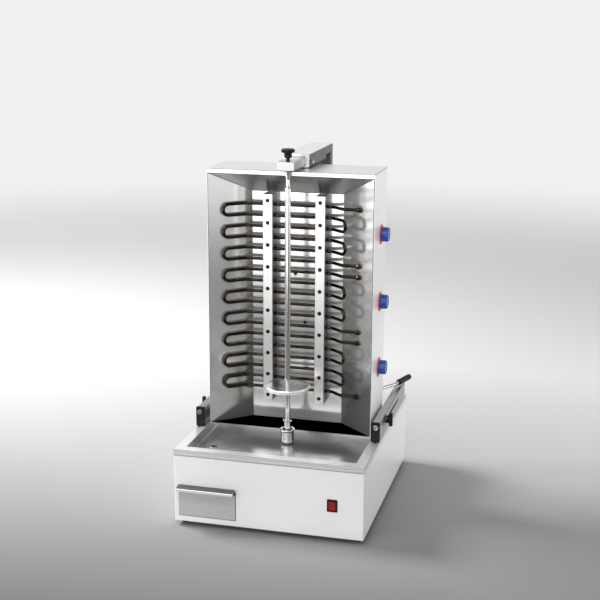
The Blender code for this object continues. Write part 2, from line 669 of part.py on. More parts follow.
def build_heat_control(zone):
    """A regulator inside the side wall, a flange outside it, and the knob on the regulator's stem."""
    name, height = ZONES[zone], KNOB_Z + zone * KNOB_STEP
    inner = CABINET_HALF - PANEL - 0.0015
    part(block("regulator_" + name, (inner - 0.034, KNOB_Y - 0.020, height - 0.020),
               (inner, KNOB_Y + 0.020, height + 0.020)), "black_plastic")
    place = (CABINET_HALF, KNOB_Y, height)
    ring = ((0.004, 0.0034), (FLANGE_RADIUS - 0.002, 0.0034), (FLANGE_RADIUS, 0.0020), (FLANGE_RADIUS, GAP),
            (0.004, GAP))
    part(turned("knob_flange_" + name, ring, place, "X", 28, ring=True), "red_plastic")
    top, seat, stem = 0.0205, 0.0037, inner + GAP - CABINET_HALF
    knob = ((0, top), (KNOB_RADIUS - 0.0025, top), (KNOB_RADIUS - 0.0005, top - 0.0015),
            (KNOB_RADIUS, seat), (0.003, seat), (0.003, stem), (0, stem))
    part(turned("heat_knob_" + name, knob, place, "X", 28), "blue_plastic")


def build_push_handle(side):
    """A bent rod behind the cabinet, whose outer end carries a thicker grip."""
    points = [(side * x, y, HANDLE_Z) for x, y in HANDLE_PATH]
    path = rounded(points, (0.012, 0.012))
    handle = part(tube(side_name("push_handle", side), path, HANDLE_RADIUS), "black_plastic")
    turn, tip = Vector(points[2]), Vector(points[3])
    along = (tip - turn).normalized()
    ball = [(GRIP_RADIUS * math.cos(angle), -GRIP_RADIUS * (1 - math.sin(angle)))
            for angle in (math.radians(90 - 30 * step) for step in range(4))]
    length = (tip - turn).length - 0.022
    profile = (*((max(radius, 0), height) for radius, height in ball), (GRIP_RADIUS, 0.001 - length),
               (GRIP_RADIUS - 0.001, -length), (0, -length))
    grip = turned(side_name("grip", side), profile, tip, steps=12)
    grip.rotation_euler = along.to_track_quat("Z", "X").to_euler()
    join(handle, grip)


# ---------------------------------------------------------------- top arm

def build_post():
    post = part(block("rear_post", (-POST_HALF, POST_FRONT, GAP), (POST_HALF, POST_REAR, 0.6617)),
                "brushed_steel")
    cut(post, block("post_inside", (0.002 - POST_HALF, POST_FRONT + 0.002, -0.01),
                    (POST_HALF - 0.002, POST_REAR - 0.002, 0.7)))
    part(block("arm_elbow", (-POST_HALF, ARM_REAR + GAP, 0.662), (POST_HALF, POST_REAR, ARM_TOP)),
         "brushed_steel")


def build_arm_tube():
    arm = part(block("arm_tube", (-ARM_HALF, ARM_FRONT, ARM_BOTTOM), (ARM_HALF, ARM_REAR, ARM_TOP)),
               "brushed_steel")
    play = 0.0005
    cut(arm, block("arm_inside", (-BAR_HALF - play, ARM_FRONT - 0.01, BAR_BOTTOM - play),
                   (BAR_HALF + play, ARM_REAR + 0.01, BAR_TOP + play)))
    cut(arm, rod("lock_hole", (BAR_HALF, LOCK_Y, LOCK_Z), 0.02, 0.0034, "X", 12))


def build_arm_bar():
    bar = part(block("arm_bar", (-BAR_HALF, BAR_FRONT, BAR_BOTTOM), (BAR_HALF, BAR_REAR, BAR_TOP)),
               "polished_steel")
    cut(bar, rod("bar_hole", (0, SPIT_Y, BAR_BOTTOM - 0.01), 0.05, PIN_RADIUS + 0.0004, steps=20))


def build_lock_screw():
    inner = BAR_HALF + GAP
    seat = ARM_HALF + GAP - inner
    profile = ((0, seat + 0.0070), (0.0050, seat + 0.0070), (0.0062, seat + 0.0058), (0.0062, seat),
               (0.003, seat), (0.003, 0), (0, 0))
    part(turned("arm_lock_screw", profile, (inner, LOCK_Y, LOCK_Z), "X", 12), "chrome")


def build_top_pin():
    bottom, top = SPIT_TOP + 0.0005, BAR_TOP - GAP
    profile = ((0, top), (PIN_RADIUS, top), (PIN_RADIUS, bottom + 0.001), (PIN_RADIUS - 0.001, bottom),
               (0, bottom))
    part(turned("threaded_pin", profile, (0, SPIT_Y, 0), steps=20), "polished_steel")
    knob = ((0, 0.7055), (0.0150, 0.7055), (0.0160, 0.7045), (0.0160, 0.6985), (0.0150, 0.6975),
            (0.0095, 0.6965), (0.0095, 0.6860), (0.0085, 0.6850), (0.0045, 0.6850), (0.0045, BAR_TOP),
            (0, BAR_TOP))
    part(turned("top_knob", knob, (0, SPIT_Y, 0), steps=24), "black_plastic")


def build():
    build_base_housing()
    build_bottom_plate()
    build_rim_frame()
    build_drip_pan()
    build_drain_collar()
    build_feet()
    build_drawer()
    build_runners()
    build_switch()
    build_cable_gland()
    build_drive()
    build_spit_socket()
    build_spit()
    for side in (-1, 1):
        build_rail(side)
        build_rail_bracket(side)
        build_clamp_knob(side)
        build_wing(side)
        build_channel(side)
        build_push_handle(side)
    build_cabinet_shell()
    build_cabinet_cap()
    build_ceiling()
    build_back_panel()
    for zone in range(len(ZONES)):
        build_element(zone)
        build_heat_control(zone)
    build_post()
    build_arm_tube()
    build_arm_bar()
    build_lock_screw()
    build_top_pin()


build()
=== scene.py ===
"""Looks of the vertical electric rotisserie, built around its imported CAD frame.

Metres. Shapes are drawn with X as the width, Y as the depth behind the front of the base, and Z as
the height above the base's rim. finished() moves them from there into the frame.
"""
import math

import bmesh
import bpy
from mathutils import Matrix, Vector


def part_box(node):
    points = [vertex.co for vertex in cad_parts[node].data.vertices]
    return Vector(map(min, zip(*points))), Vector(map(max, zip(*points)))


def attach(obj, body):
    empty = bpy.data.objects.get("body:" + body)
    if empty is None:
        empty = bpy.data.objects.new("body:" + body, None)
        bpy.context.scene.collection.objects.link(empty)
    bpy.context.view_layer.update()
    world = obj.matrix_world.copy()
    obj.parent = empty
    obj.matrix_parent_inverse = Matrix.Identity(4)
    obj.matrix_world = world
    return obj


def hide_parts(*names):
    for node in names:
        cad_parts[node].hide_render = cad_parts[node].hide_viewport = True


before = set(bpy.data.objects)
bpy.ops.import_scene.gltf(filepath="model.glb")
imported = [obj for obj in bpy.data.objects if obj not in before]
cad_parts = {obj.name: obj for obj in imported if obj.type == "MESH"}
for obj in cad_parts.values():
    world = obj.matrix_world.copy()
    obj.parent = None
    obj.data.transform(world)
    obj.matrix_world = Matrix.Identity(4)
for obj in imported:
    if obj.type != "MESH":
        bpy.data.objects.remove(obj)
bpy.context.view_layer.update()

RIM_LOW, RIM_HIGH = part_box("rim_frame")
ORIGIN = Vector((0, RIM_LOW.y, RIM_HIGH.z))

SIDES = ((-1, "left"), (1, "right"))
ZONES = ("lower", "middle", "upper")

# Sheet and bends
SHEET = 0.0015
PANEL = 0.001
TRAY_SHEET = LID_SHEET = 0.0012
CORNER = 0.003
FINE_EDGE = 0.0004

# What counts as the same level, and the distance at which vertices are one
CLOSE, WELD = 1e-5, 1e-6

# How far a cutting tool runs past what it cuts
OVER = 0.01
OVER_Y, OVER_Z = Vector((0, OVER, 0)), Vector((0, 0, OVER))

# Base
HEM_STEP, HEM_HEIGHT = 0.0004, 0.0052
PAN_FLANGE = 0.008
PAN_CORNER = 0.005
SHAFT_HOLE, DRAIN_HOLE, GLAND_HOLE = 0.0065, 0.0075, 0.0083
# The black strip under the hem is painted shadow.
SHADOW_STRIP_HEIGHT, SHADOW_STRIP_GAP, SHADOW_STRIP_PROUD = 0.0012, 0.0001, 0.0004
DRAWER_GAP = 0.0018
PULL_DROP, PULL_LIP, PULL_END = 0.0035, 0.0075, 0.0012
BEZEL_WALL = 0.0022
ROCKER_TILT = math.radians(6)

# Spit
SPIT_RADIUS = 0.007
COLLAR_RADIUS, COLLAR_TOP = 0.0086, 0.03
DISC_HUB = 0.013

# Heating elements
PASSES = 6
ELEMENT_RADIUS = 0.004
ELEMENT_Y = 0.256
LEFT_KINK, LEFT_TIP = (-0.126, 0.256), (-0.172, 0.2168)
RIGHT_KINK, RIGHT_TIP = (0.095, 0.256), (0.132, 0.2226)
TERMINAL_TURN, TERMINAL_END = (0.124, 0.23), (0.185, 0.23)
TERMINAL_X, KINK_BEND, TERMINAL_BEND = 0.1652, 0.012, 0.01
CHANNEL_WALL, NOTCH_HALF = 0.0012, 0.0046
WEB_HOLES, WEB_HOLE_RADIUS, WEB_HOLE_START = 10, 0.005, 0.013
PANEL_SCREWS = ((0.02, 0.262), (-0.005, 0.385))

# Heat knobs
DIAL_SEAT = 0.2066 + 0.0037

# Rails, clamps and push handles
SLOT_FRONT, SLOT_REAR, SLOT_Z, SLOT_HALF = 0.26, 0.43, 0.03, 0.0036
CLAMP_Y = 0.264
STUD_RADIUS, KNOB_DEPTH, WING_HALF = 0.003, 0.0154, 0.0045
HANDLE_Z = 0.06
HANDLE_PATH = ((0.186, 0.3473), (0.186, 0.404), (0.219, 0.4555), (0.2463, 0.5385))
HANDLE_RADIUS, HANDLE_BEND = 0.004, 0.012
GRIP_RADIUS, GRIP_START, GRIP_GROOVES = 0.0076, 0.022, 7

# Top arm
PIN_HOLE = 0.0056
THREAD_PITCH = 0.002

# Studio
FLOOR_RADIUS = 7.0
# Painted shade: the floor darkens from the far colour towards the near one in front of the object.
FLOOR_DEPTH, FLOOR_FADE = (-0.9, 1.2), (1.8, FLOOR_RADIUS * 0.9)
FLOOR_NEAR_SHADE, FLOOR_FAR = (0.085, 0.085, 0.085), (0.62, 0.62, 0.62)
BACKDROP, CEILING, CEILING_RISE = (0.88, 0.88, 0.88), (0.3, 0.3, 0.3), (0.3, 0.8)
LENS, SENSOR, CAMERA_PLACE = 73.03, 36, (0.7498, -2.8576, 1.2393)
CAMERA_RIGHT, CAMERA_UP = Vector((0.9675, 0.2529, 0.0042)), Vector((-0.0644, 0.2302, 0.971))

# How to lay a shape that stands along Z
TURNS = {
    "Z": Matrix.Identity(4),
    "X": Matrix.Rotation(math.pi / 2, 4, "Y"),
    "-X": Matrix.Rotation(-math.pi / 2, 4, "Y"),
    "Y": Matrix.Rotation(-math.pi / 2, 4, "X"),
    "-Y": Matrix.Rotation(math.pi / 2, 4, "X"),
}


def span(node):
    """A CAD node's low and high corners, as the shapes are drawn."""
    low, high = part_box(node)
    return low - ORIGIN, high - ORIGIN


def middle_of(node):
    low, high = span(node)
    return (low + high) / 2


def foot_of(node):
    """Where a node's upright axis meets the rim's level."""
    low, high = span(node)
    return (low.x + high.x) / 2, (low.y + high.y) / 2, 0


def new_object(name, data):
    obj = bpy.data.objects.new(name, data)
    bpy.context.scene.collection.objects.link(obj)
    return obj


# ------------------------ shapes

def box_shape(low, high):
    low, high = Vector(low), Vector(high)
    bm = bmesh.new()
    size = Matrix.Diagonal((*(high - low), 1))
    bmesh.ops.create_cube(bm, size=1, matrix=Matrix.Translation((low + high) / 2) @ size)
    return bm


def edges_along(bm, axis):
    """The straight edges that run along an axis: 0, 1 or 2."""
    found = []
    for edge in bm.edges:
        run = edge.verts[0].co - edge.verts[1].co
        if run.length > WELD and abs(run[axis]) / run.length > 0.999:
            found.append(edge)
    return found


def edges_at(bm, axis, level):
    """The edges that lie in a plane across an axis."""
    return [edge for edge in bm.edges if all(abs(v.co[axis] - level) < CLOSE for v in edge.verts)]


def bend(bm, edges, radius, steps=4):
    bmesh.ops.bevel(bm, geom=edges, offset=radius, offset_type="OFFSET", segments=steps, profile=0.5,
                    affect="EDGES", material=-1, clamp_overlap=True)
    return bm


def soften(bm, width, steps=2, angle=35):
    """Round every edge that turns by more than the angle."""
    limit = math.radians(angle)
    edges = [e for e in bm.edges if len(e.link_faces) == 2 and e.calc_face_angle(0) > limit]
    return bend(bm, edges, width, steps)


def bent_box(low, high, radius, axis=2, steps=4):
    """A box whose edges along one axis are round."""
    bm = box_shape(low, high)
    return bend(bm, edges_along(bm, axis), radius, steps)


def open_box(low, high, corner, edge, upside_down=False):
    """An open box of no thickness; the round corners and the round edge are given as (radius, steps)."""
    bm = box_shape(low, high)
    way = -1 if upside_down else 1
    bmesh.ops.delete(bm, geom=[f for f in bm.faces if f.normal.z * way > 0.9], context="FACES_ONLY")
    bend(bm, edges_along(bm, 2), *corner)
    return bend(bm, edges_at(bm, 2, high.z if upside_down else low.z), *edge)


def add(bm, *others):
    """Put further shapes into the same mesh."""
    for other in others:
        mesh = bpy.data.meshes.new("part")
        other.to_mesh(mesh)
        other.free()
        bm.from_mesh(mesh)
        bpy.data.meshes.remove(mesh)
    return bm


def helper(bm):
    """A passing object that carries a shape into a modifier."""
    mesh = bpy.data.meshes.new("helper")
    bm.to_mesh(mesh)
    bm.free()
    return new_object("helper", mesh)


def settled(obj, others=()):
    """The object's mesh with its modifiers applied; the helpers go."""
    evaluated = obj.evaluated_get(bpy.context.evaluated_depsgraph_get())
    bm = bmesh.new()
    mesh = bpy.data.meshes.new_from_object(evaluated)
    bm.from_mesh(mesh)
    for gone in (obj, *others):
        bpy.data.objects.remove(gone)
    bpy.data.meshes.remove(mesh)
    return bm


def combined(bm, others, operation):
    obj = helper(bm)
    tools = [helper(other) for other in others]
    for tool in tools:
        modifier = obj.modifiers.new("combine", "BOOLEAN")
        modifier.operation, modifier.solver, modifier.object = operation, "EXACT", tool
    bm = settled(obj, tools)
    bmesh.ops.remove_doubles(bm, verts=bm.verts, dist=WELD)
    return bm


def cut(bm, *others):
    return combined(bm, others, "DIFFERENCE")


def fuse(bm, *others):
    return combined(bm, others, "UNION")


def thickened(bm, thickness, outwards=True):
    """A sheet with its thickness, grown along its normals or against them."""
    obj = helper(bm)
    modifier = obj.modifiers.new("sheet", "SOLIDIFY")
    modifier.thickness, modifier.offset = thickness, 1 if outwards else -1
    modifier.use_even_offset = True
    return settled(obj)


def turned(profile, centre=(0, 0, 0), axis="Z", steps=48, ring=False, edge=0):
    """(radius, height) pairs turned about an axis; a ring's profile closes on itself."""
    bm = bmesh.new()
    verts = [bm.verts.new((radius, 0, height)) for radius, height in profile]
    edges = [bm.edges.new(pair) for pair in zip(verts, verts[1:])]
    if ring:
        edges.append(bm.edges.new((verts[-1], verts[0])))
    bmesh.ops.spin(bm, geom=verts + edges, cent=(0, 0, 0), axis=(0, 0, 1), dvec=(0, 0, 0),
                   angle=2 * math.pi, steps=steps, use_merge=True, use_duplicate=False)
    bmesh.ops.remove_doubles(bm, verts=bm.verts, dist=WELD)
    bmesh.ops.recalc_face_normals(bm, faces=bm.faces)
    if edge:
        soften(bm, edge)
    bm.transform(Matrix.Translation(centre) @ TURNS[axis])
    return bm


def rod(centre, length, radius, axis="Z", steps=32, edge=0):
    return turned(((0, length), (radius, length), (radius, 0), (0, 0)), centre, axis, steps, edge=edge)


def only_verts(made):
    """The vertices among the things that an operator made."""
    return [item for item in made if isinstance(item, bmesh.types.BMVert)]


def corners(bm, outline, axis, level):
    """An outline's corners as vertices in the plane across an axis."""
    verts = []
    for first, second in outline:
        place = [first, second]
        place.insert(axis, level)
        verts.append(bm.verts.new(place))
    return verts


def carry(bm, made, axis, distance):
    move = Vector((0, 0, 0))
    move[axis] = distance
    bmesh.ops.translate(bm, vec=move, verts=only_verts(made))


def prism(outline, axis, low, high):
    """A flat outline in the two other axes, carried along an axis from low to high."""
    bm = bmesh.new()
    face = bm.faces.new(corners(bm, outline, axis, low))
    carry(bm, bmesh.ops.extrude_face_region(bm, geom=[face])["geom"], axis, high - low)
    bmesh.ops.recalc_face_normals(bm, faces=bm.faces)
    return bm


def folded(outline, axis, low, high, radius, thickness, steps=5):
    """A strip of sheet along an axis, whose section follows an open line with rounded folds."""
    bm = bmesh.new()
    verts = corners(bm, outline, axis, low)
    for pair in zip(verts, verts[1:]):
        bm.edges.new(pair)
    bmesh.ops.bevel(bm, geom=verts[1:-1], offset=radius, offset_type="OFFSET", segments=steps, profile=0.5,
                    affect="VERTICES", material=-1)
    carry(bm, bmesh.ops.extrude_edge_only(bm, edges=bm.edges)["geom"], axis, high - low)
    return thickened(bm, thickness)


def bar_through(points, bends, radius, sides=16, degrees_per_step=10):
    """A round bar along a path, bent at each corner to the given radius."""
    points = [Vector(point) for point in points]
    along = (points[1] - points[0]).normalized()
    bm = bmesh.new()
    start = Matrix.Translation(points[0]) @ along.to_track_quat("Z", "Y").to_matrix().to_4x4()
    bmesh.ops.create_circle(bm, cap_ends=True, segments=sides, radius=radius, matrix=start)
    ring, used = list(bm.edges), 0
    for number, corner in enumerate(points[1:]):
        tangent = 0
        if number < len(bends):
            after = (points[number + 2] - corner).normalized()
            angle = along.angle(after)
            tangent = bends[number] * math.tan(angle / 2)
        made = bmesh.ops.extrude_edge_only(bm, edges=ring)["geom"]
        length = (corner - points[number]).length - used - tangent
        bmesh.ops.translate(bm, vec=along * length, verts=only_verts(made))
        ring = [e for e in made if isinstance(e, bmesh.types.BMEdge) and e.is_boundary]
        if not tangent:
            break
        axis = along.cross(after).normalized()
        centre = corner - along * tangent + axis.cross(along) * bends[number]
        steps = max(2, math.ceil(math.degrees(angle) / degrees_per_step))
        around = ring + list({v for e in ring for v in e.verts})
        made = bmesh.ops.spin(bm, geom=around, cent=centre, axis=axis, dvec=(0, 0, 0), angle=angle,
                              steps=steps, use_merge=False, use_duplicate=False)
        ring = [e for e in made["geom_last"] if isinstance(e, bmesh.types.BMEdge)]
        along, used = after, tangent
    bmesh.ops.holes_fill(bm, edges=ring, sides=0)
    bmesh.ops.remove_doubles(bm, verts=bm.verts, dist=WELD)
    bmesh.ops.recalc_face_normals(bm, faces=bm.faces)
    return bm


def hex_head(centre, height, radius, axis):
    """A hexagon head with a washer face under it."""
    bm = bmesh.new()
    bmesh.ops.create_cone(bm, cap_ends=True, segments=6, radius1=radius, radius2=radius,
                          depth=height * 0.8, matrix=Matrix.Translation((0, 0, height * 0.6)))
    soften(bm, height * 0.08)
    bm.transform(Matrix.Translation(centre) @ TURNS[axis])
    return add(bm, rod(centre, height * 0.25, radius * 1.12, axis, 32, edge=height * 0.06))


def fluted(bm, axis, inner_radius, depth, centre):
    """Press in every other narrow face round the side of a turned shape."""
    centre = Vector(centre)
    faces = []
    for face in bm.faces:
        middle = face.calc_center_median() - centre
        middle[axis] = 0
        if abs(face.normal[axis]) < 0.2 and middle.length > inner_radius:
            others = [middle[i] for i in range(3) if i != axis]
            faces.append((math.atan2(others[1], others[0]), face))
    faces = [face for _, face in sorted(faces, key=lambda pair: pair[0])]
    bmesh.ops.inset_individual(bm, faces=faces[::2], thickness=depth * 0.35, depth=-depth)
    return bm


def finished(name, bm, body, look, node=None, smooth=50):
    """A piece of the object, riding on its body, that may take the place of a CAD node."""
    bmesh.ops.translate(bm, vec=ORIGIN, verts=bm.verts)
    mesh = bpy.data.meshes.new(name)
    bm.to_mesh(mesh)
    bm.free()
    mesh.materials.append(FINISHES[look])
    mesh.shade_smooth()
    mesh.set_sharp_from_angle(angle=math.radians(smooth))
    obj = new_object(name, mesh)
    obj.modifiers.new("even_shading", "WEIGHTED_NORMAL").keep_sharp = True
    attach(obj, body)
    if node:
        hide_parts(node)
    return obj


# ------------------------ finishes

FINISHES = {}
LEVEL, UPRIGHT, TOP, LENGTHWAYS = (0.012, 0.012, 1), (1, 1, 0.012), (0.012, 1, 1), (1, 0.012, 1)
WIPE_BAND, WIPE_DARK, WIPE_LIGHT = (0.36, 0.64), 0.035, 0.02


def start_finish(name, metallic=0.0, shine=0.5):
    """A new finish under its name in FINISHES, with its node tree and its shader."""
    finish = FINISHES[name] = bpy.data.materials.new(name)
    finish.use_nodes = True
    shader = finish.node_tree.nodes["Principled BSDF"]
    shader.inputs["Metallic"].default_value = metallic
    shader.inputs["Specular IOR Level"].default_value = shine
    return finish.node_tree, shader


def coordinate(tree, kind, axis):
    """One coordinate of a place on the object, or of a direction into the backdrop."""
    place = tree.nodes.new("ShaderNodeTexCoord")
    parts = tree.nodes.new("ShaderNodeSeparateXYZ")
    tree.links.new(place.outputs[kind], parts.inputs["Vector"])
    return parts.outputs[axis]


def pattern(tree, scale, stretch=(1, 1, 1), detail=3.0):
    """Noise on the object's own coordinates, drawn out along the directions with small stretch."""
    place = tree.nodes.new("ShaderNodeTexCoord")
    mapping = tree.nodes.new("ShaderNodeMapping")
    mapping.inputs["Scale"].default_value = stretch
    noise = tree.nodes.new("ShaderNodeTexNoise")
    noise.inputs["Scale"].default_value = scale
    noise.inputs["Detail"].default_value = detail
    tree.links.new(place.outputs["Object"], mapping.inputs["Vector"])
    tree.links.new(mapping.outputs["Vector"], noise.inputs["Vector"])
    return noise.outputs["Fac"]


def ranged(tree, value, low, high, start=0.3, end=0.7):
    """A value that goes from low to high while the given one goes from start to end."""
    node = tree.nodes.new("ShaderNodeMapRange")
    for socket, number in (("From Min", start), ("From Max", end), ("To Min", low), ("To Max", high)):
        node.inputs[socket].default_value = number
    tree.links.new(value, node.inputs["Value"])
    return node.outputs["Result"]


def tinted(tree, value, dark, light, start=0.3, end=0.7):
    """A colour that goes from dark to light while the value goes from start to end."""
    ramp = tree.nodes.new("ShaderNodeValToRGB")
    ramp.color_ramp.elements[0].position, ramp.color_ramp.elements[1].position = start, end
    ramp.color_ramp.elements[0].color = (*dark, 1)
    ramp.color_ramp.elements[1].color = (*light, 1)
    tree.links.new(value, ramp.inputs["Fac"])
    return ramp.outputs["Color"]


def mixed(tree, first, second, share):
    node = tree.nodes.new("ShaderNodeMix")
    node.inputs["Factor"].default_value = share
    tree.links.new(first, node.inputs[2])
    tree.links.new(second, node.inputs[3])
    return node.outputs[0]


def fed(tree, shader, colour, gloss):
    tree.links.new(colour, shader.inputs["Base Color"])
    tree.links.new(gloss, shader.inputs["Roughness"])


def bumped(tree, shader, value, strength, distance):
    bump = tree.nodes.new("ShaderNodeBump")
    bump.inputs["Strength"].default_value = strength
    bump.inputs["Distance"].default_value = distance
    tree.links.new(value, bump.inputs["Height"])
    tree.links.new(bump.outputs["Normal"], shader.inputs["Normal"])


def painted_bottom_shade(tree, colour, low, high, share):
    """The colour, darkened towards the bottom of the piece: painted shade for the dark that the piece
    reflects from below.
    """
    node = tree.nodes.new("ShaderNodeMix")
    node.data_type, node.blend_type = "RGBA", "MULTIPLY"
    painted_darkening = ranged(tree, coordinate(tree, "Object", "Z"), 1, 0, low, high)
    tree.links.new(painted_darkening, node.inputs["Factor"])
    tree.links.new(colour, node.inputs["A"])
    node.inputs["B"].default_value = (share, share, share, 1)
    return node.outputs["Result"]


def steel(name, shade, roughness, grain, spread=0.03, bump=0.05, tone=(1.0, 1.0, 0.99), metallic=1.0,
          wear=1.0, painted_shade_below=None, shine=0.5):
    """Stainless sheet: fine brushing along a grain, and faint cloudy wiping marks; on request, painted
    shade that darkens it towards the bottom.
    """
    tree, shader = start_finish(name, metallic, shine)
    brushing = pattern(tree, 1500, grain, 3)
    streaks = pattern(tree, 300, grain, 2)
    clouds = pattern(tree, 6, detail=2)
    marks = mixed(tree, mixed(tree, brushing, streaks, 0.35), clouds, 0.5)
    shares = 1 - WIPE_DARK * wear, 1 + WIPE_LIGHT * wear
    dark, light = (tuple(shade * part * t for t in tone) for part in shares)
    colour = tinted(tree, marks, dark, light, *WIPE_BAND)
    # Painted shade: the colour darkens towards the bottom of the piece.
    if painted_shade_below:
        colour = painted_bottom_shade(tree, colour, *painted_shade_below)
    fed(tree, shader, colour, ranged(tree, marks, roughness - spread, roughness + spread, *WIPE_BAND))
    bumped(tree, shader, brushing, bump, 0.0001)


def coated(name, dark, light, roughness, cloud, grain, bump, shine, uneven, detail=3):
    """An even colour with a slightly uneven gloss over a fine grain."""
    tree, shader = start_finish(name, shine=shine)
    clouds = pattern(tree, cloud, detail=detail)
    gloss = ranged(tree, clouds, roughness - uneven, roughness + uneven)
    fed(tree, shader, tinted(tree, clouds, dark, light), gloss)
    bumped(tree, shader, pattern(tree, grain, detail=2), *bump)


def plastic(name, dark, light, roughness, grain_bump=0.1, shine=0.5):
    """Moulded plastic or rubber, with a spark-eroded grain."""
    coated(name, dark, light, roughness, 60, 1400, (grain_bump, 0.0001), shine, 0.06)


def painted(name, dark, light, roughness):
    """Paint on a casting or plate, with a light orange-peel skin."""
    coated(name, dark, light, roughness, 25, 500, (0.2, 0.0002), 0.2, 0.08, 4)


def sheath(name):
    """The oxidised steel tube of a heating element, brown where it has been hottest."""
    tree, shader = start_finish(name, metallic=1.0)
    scale = pattern(tree, 34, detail=5)
    specks = pattern(tree, 420, detail=3)
    marks = mixed(tree, scale, specks, 0.35)
    colour = tinted(tree, marks, (0.008, 0.007, 0.006), (0.066, 0.043, 0.03), 0.36, 0.72)
    fed(tree, shader, colour, ranged(tree, marks, 0.1, 0.18))
    bumped(tree, shader, specks, 0.15, 0.0001)


def make_finishes():
    steel("base_steel", 0.97, 0.36, LEVEL, metallic=0.38)
    steel("rim_steel", 0.8, 0.32, TOP, metallic=0.68)
    steel("pan_steel", 0.8, 0.27, TOP, spread=0.02, bump=0.01, metallic=0.95)
    steel("drawer_steel", 0.58, 0.36, LEVEL, metallic=0.5)
    steel("cabinet_steel", 0.94, 0.34, UPRIGHT, metallic=0.45)
    steel("lid_steel", 0.86, 0.32, TOP)
    # Painted shade: the wings darken towards their bottom, standing for the dark pan they reflect.
    steel("wing_steel", 0.95, 0.15, UPRIGHT, spread=0.005, bump=0.001, metallic=0.8, wear=0.3,
          painted_shade_below=(0.325, 0.4, 0.45))
    steel("ceiling_steel", 0.8, 0.3, TOP, spread=0.01, bump=0.006)
    steel("back_steel", 0.86, 0.13, UPRIGHT, spread=0.005, bump=0.001, metallic=0.68, wear=0.3)
    steel("channel_steel", 0.82, 0.28, UPRIGHT, bump=0.02)
    # Painted shade: a dark copy of the steel for the flanks of the channels and the inside of the rails.
    steel("painted_shade_side_steel", 0.16, 0.42, UPRIGHT, tone=(1.0, 0.97, 0.93))
    steel("bar_steel", 0.44, 0.26, LENGTHWAYS, bump=0.02)
    steel("arm_steel", 0.9, 0.28, LENGTHWAYS)
    steel("rail_steel", 0.34, 0.28, LENGTHWAYS)
    # Painted shade: a near-black steel for the rear post and the elbow's sides, which lie in shadow.
    steel("painted_shade_post_steel", 0.1, 0.32, UPRIGHT, metallic=0.5, shine=0.1)
    # Painted shade: a near-black copy of the steel for faces that face away from the light.
    steel("painted_shade_steel", 0.085, 0.34, LENGTHWAYS, metallic=0.3, shine=0.1)
    # Painted shade: a mid-grey copy of the steel for bends and for the bar's flanks.
    steel("painted_shade_grey_steel", 0.34, 0.3, LEVEL)
    # Painted highlight: a bright copy of the steel for the pull's lip and the disc's rolled edge.
    steel("painted_highlight_steel", 0.97, 0.24, LEVEL, metallic=0.6)
    steel("turned_steel", 0.88, 0.14, LEVEL, spread=0.02, bump=0.01)
    steel("disc_steel", 0.38, 0.26, LEVEL)
    steel("inner_steel", 0.55, 0.38, LEVEL)
    steel("chrome", 0.5, 0.08, (1, 1, 1), spread=0.03, bump=0.01)
    sheath("oxidised_sheath")
    painted("black_paint", (0.004, 0.004, 0.004), (0.01, 0.01, 0.01), 0.42)
    painted("motor_paint", (0.2, 0.21, 0.22), (0.28, 0.29, 0.3), 0.55)
    plastic("black_plastic", (0.006, 0.006, 0.006), (0.013, 0.013, 0.014), 0.4, shine=0.2)
    plastic("red_plastic", (0.62, 0.055, 0.045), (0.74, 0.085, 0.07), 0.26, 0.03)
    plastic("red_rocker", (0.22, 0.006, 0.006), (0.32, 0.012, 0.01), 0.22, 0.02)
    plastic("blue_plastic", (0.01, 0.06, 0.33), (0.018, 0.09, 0.42), 0.28, 0.03)
    plastic("white_print", (0.72, 0.72, 0.72), (0.8, 0.8, 0.8), 0.45, 0.03)
    plastic("rubber", (0.006, 0.006, 0.006), (0.013, 0.013, 0.013), 0.7, 0.3, shine=0.15)


def refinish(piece, look, chosen):
    """Give another finish to the faces that the test picks."""
    piece.data.materials.append(FINISHES[look])
    number = len(piece.data.materials) - 1
    for face in piece.data.polygons:
        if chosen(face):
            face.material_index = number


# ------------------------ base

def make_housing():
    """The body of the base: one bent wall with a mouth for the drawer and for the switch."""
    low, high = span("base_housing")
    wall = Vector((SHEET, SHEET, 0))
    shell = bent_box(low, high, CORNER)
    room = bent_box(low + wall - OVER_Z, high - wall + OVER_Z, CORNER - SHEET)
    front_low, front_high = span("drawer_front")
    box_high = span("drawer_box")[1]
    mouth = box_shape((front_low.x - DRAWER_GAP * 0.4, low.y - OVER, front_low.z - DRAWER_GAP * 0.9),
                      (front_high.x + DRAWER_GAP, low.y + OVER, box_high.z + 0.002))
    bezel_low, bezel_high = span("switch_bezel")
    inset = Vector((BEZEL_WALL, 0, BEZEL_WALL))
    hole = box_shape(bezel_low + inset - OVER_Y, bezel_high - inset)
    gland = middle_of("cable_gland")
    outlet = rod((gland.x, high.y - OVER, gland.z), 2 * OVER, GLAND_HOLE, "Y")
    bm = cut(shell, room, mouth, hole, outlet)
    finished("housing", bm, "base", "base_steel", "base_housing")


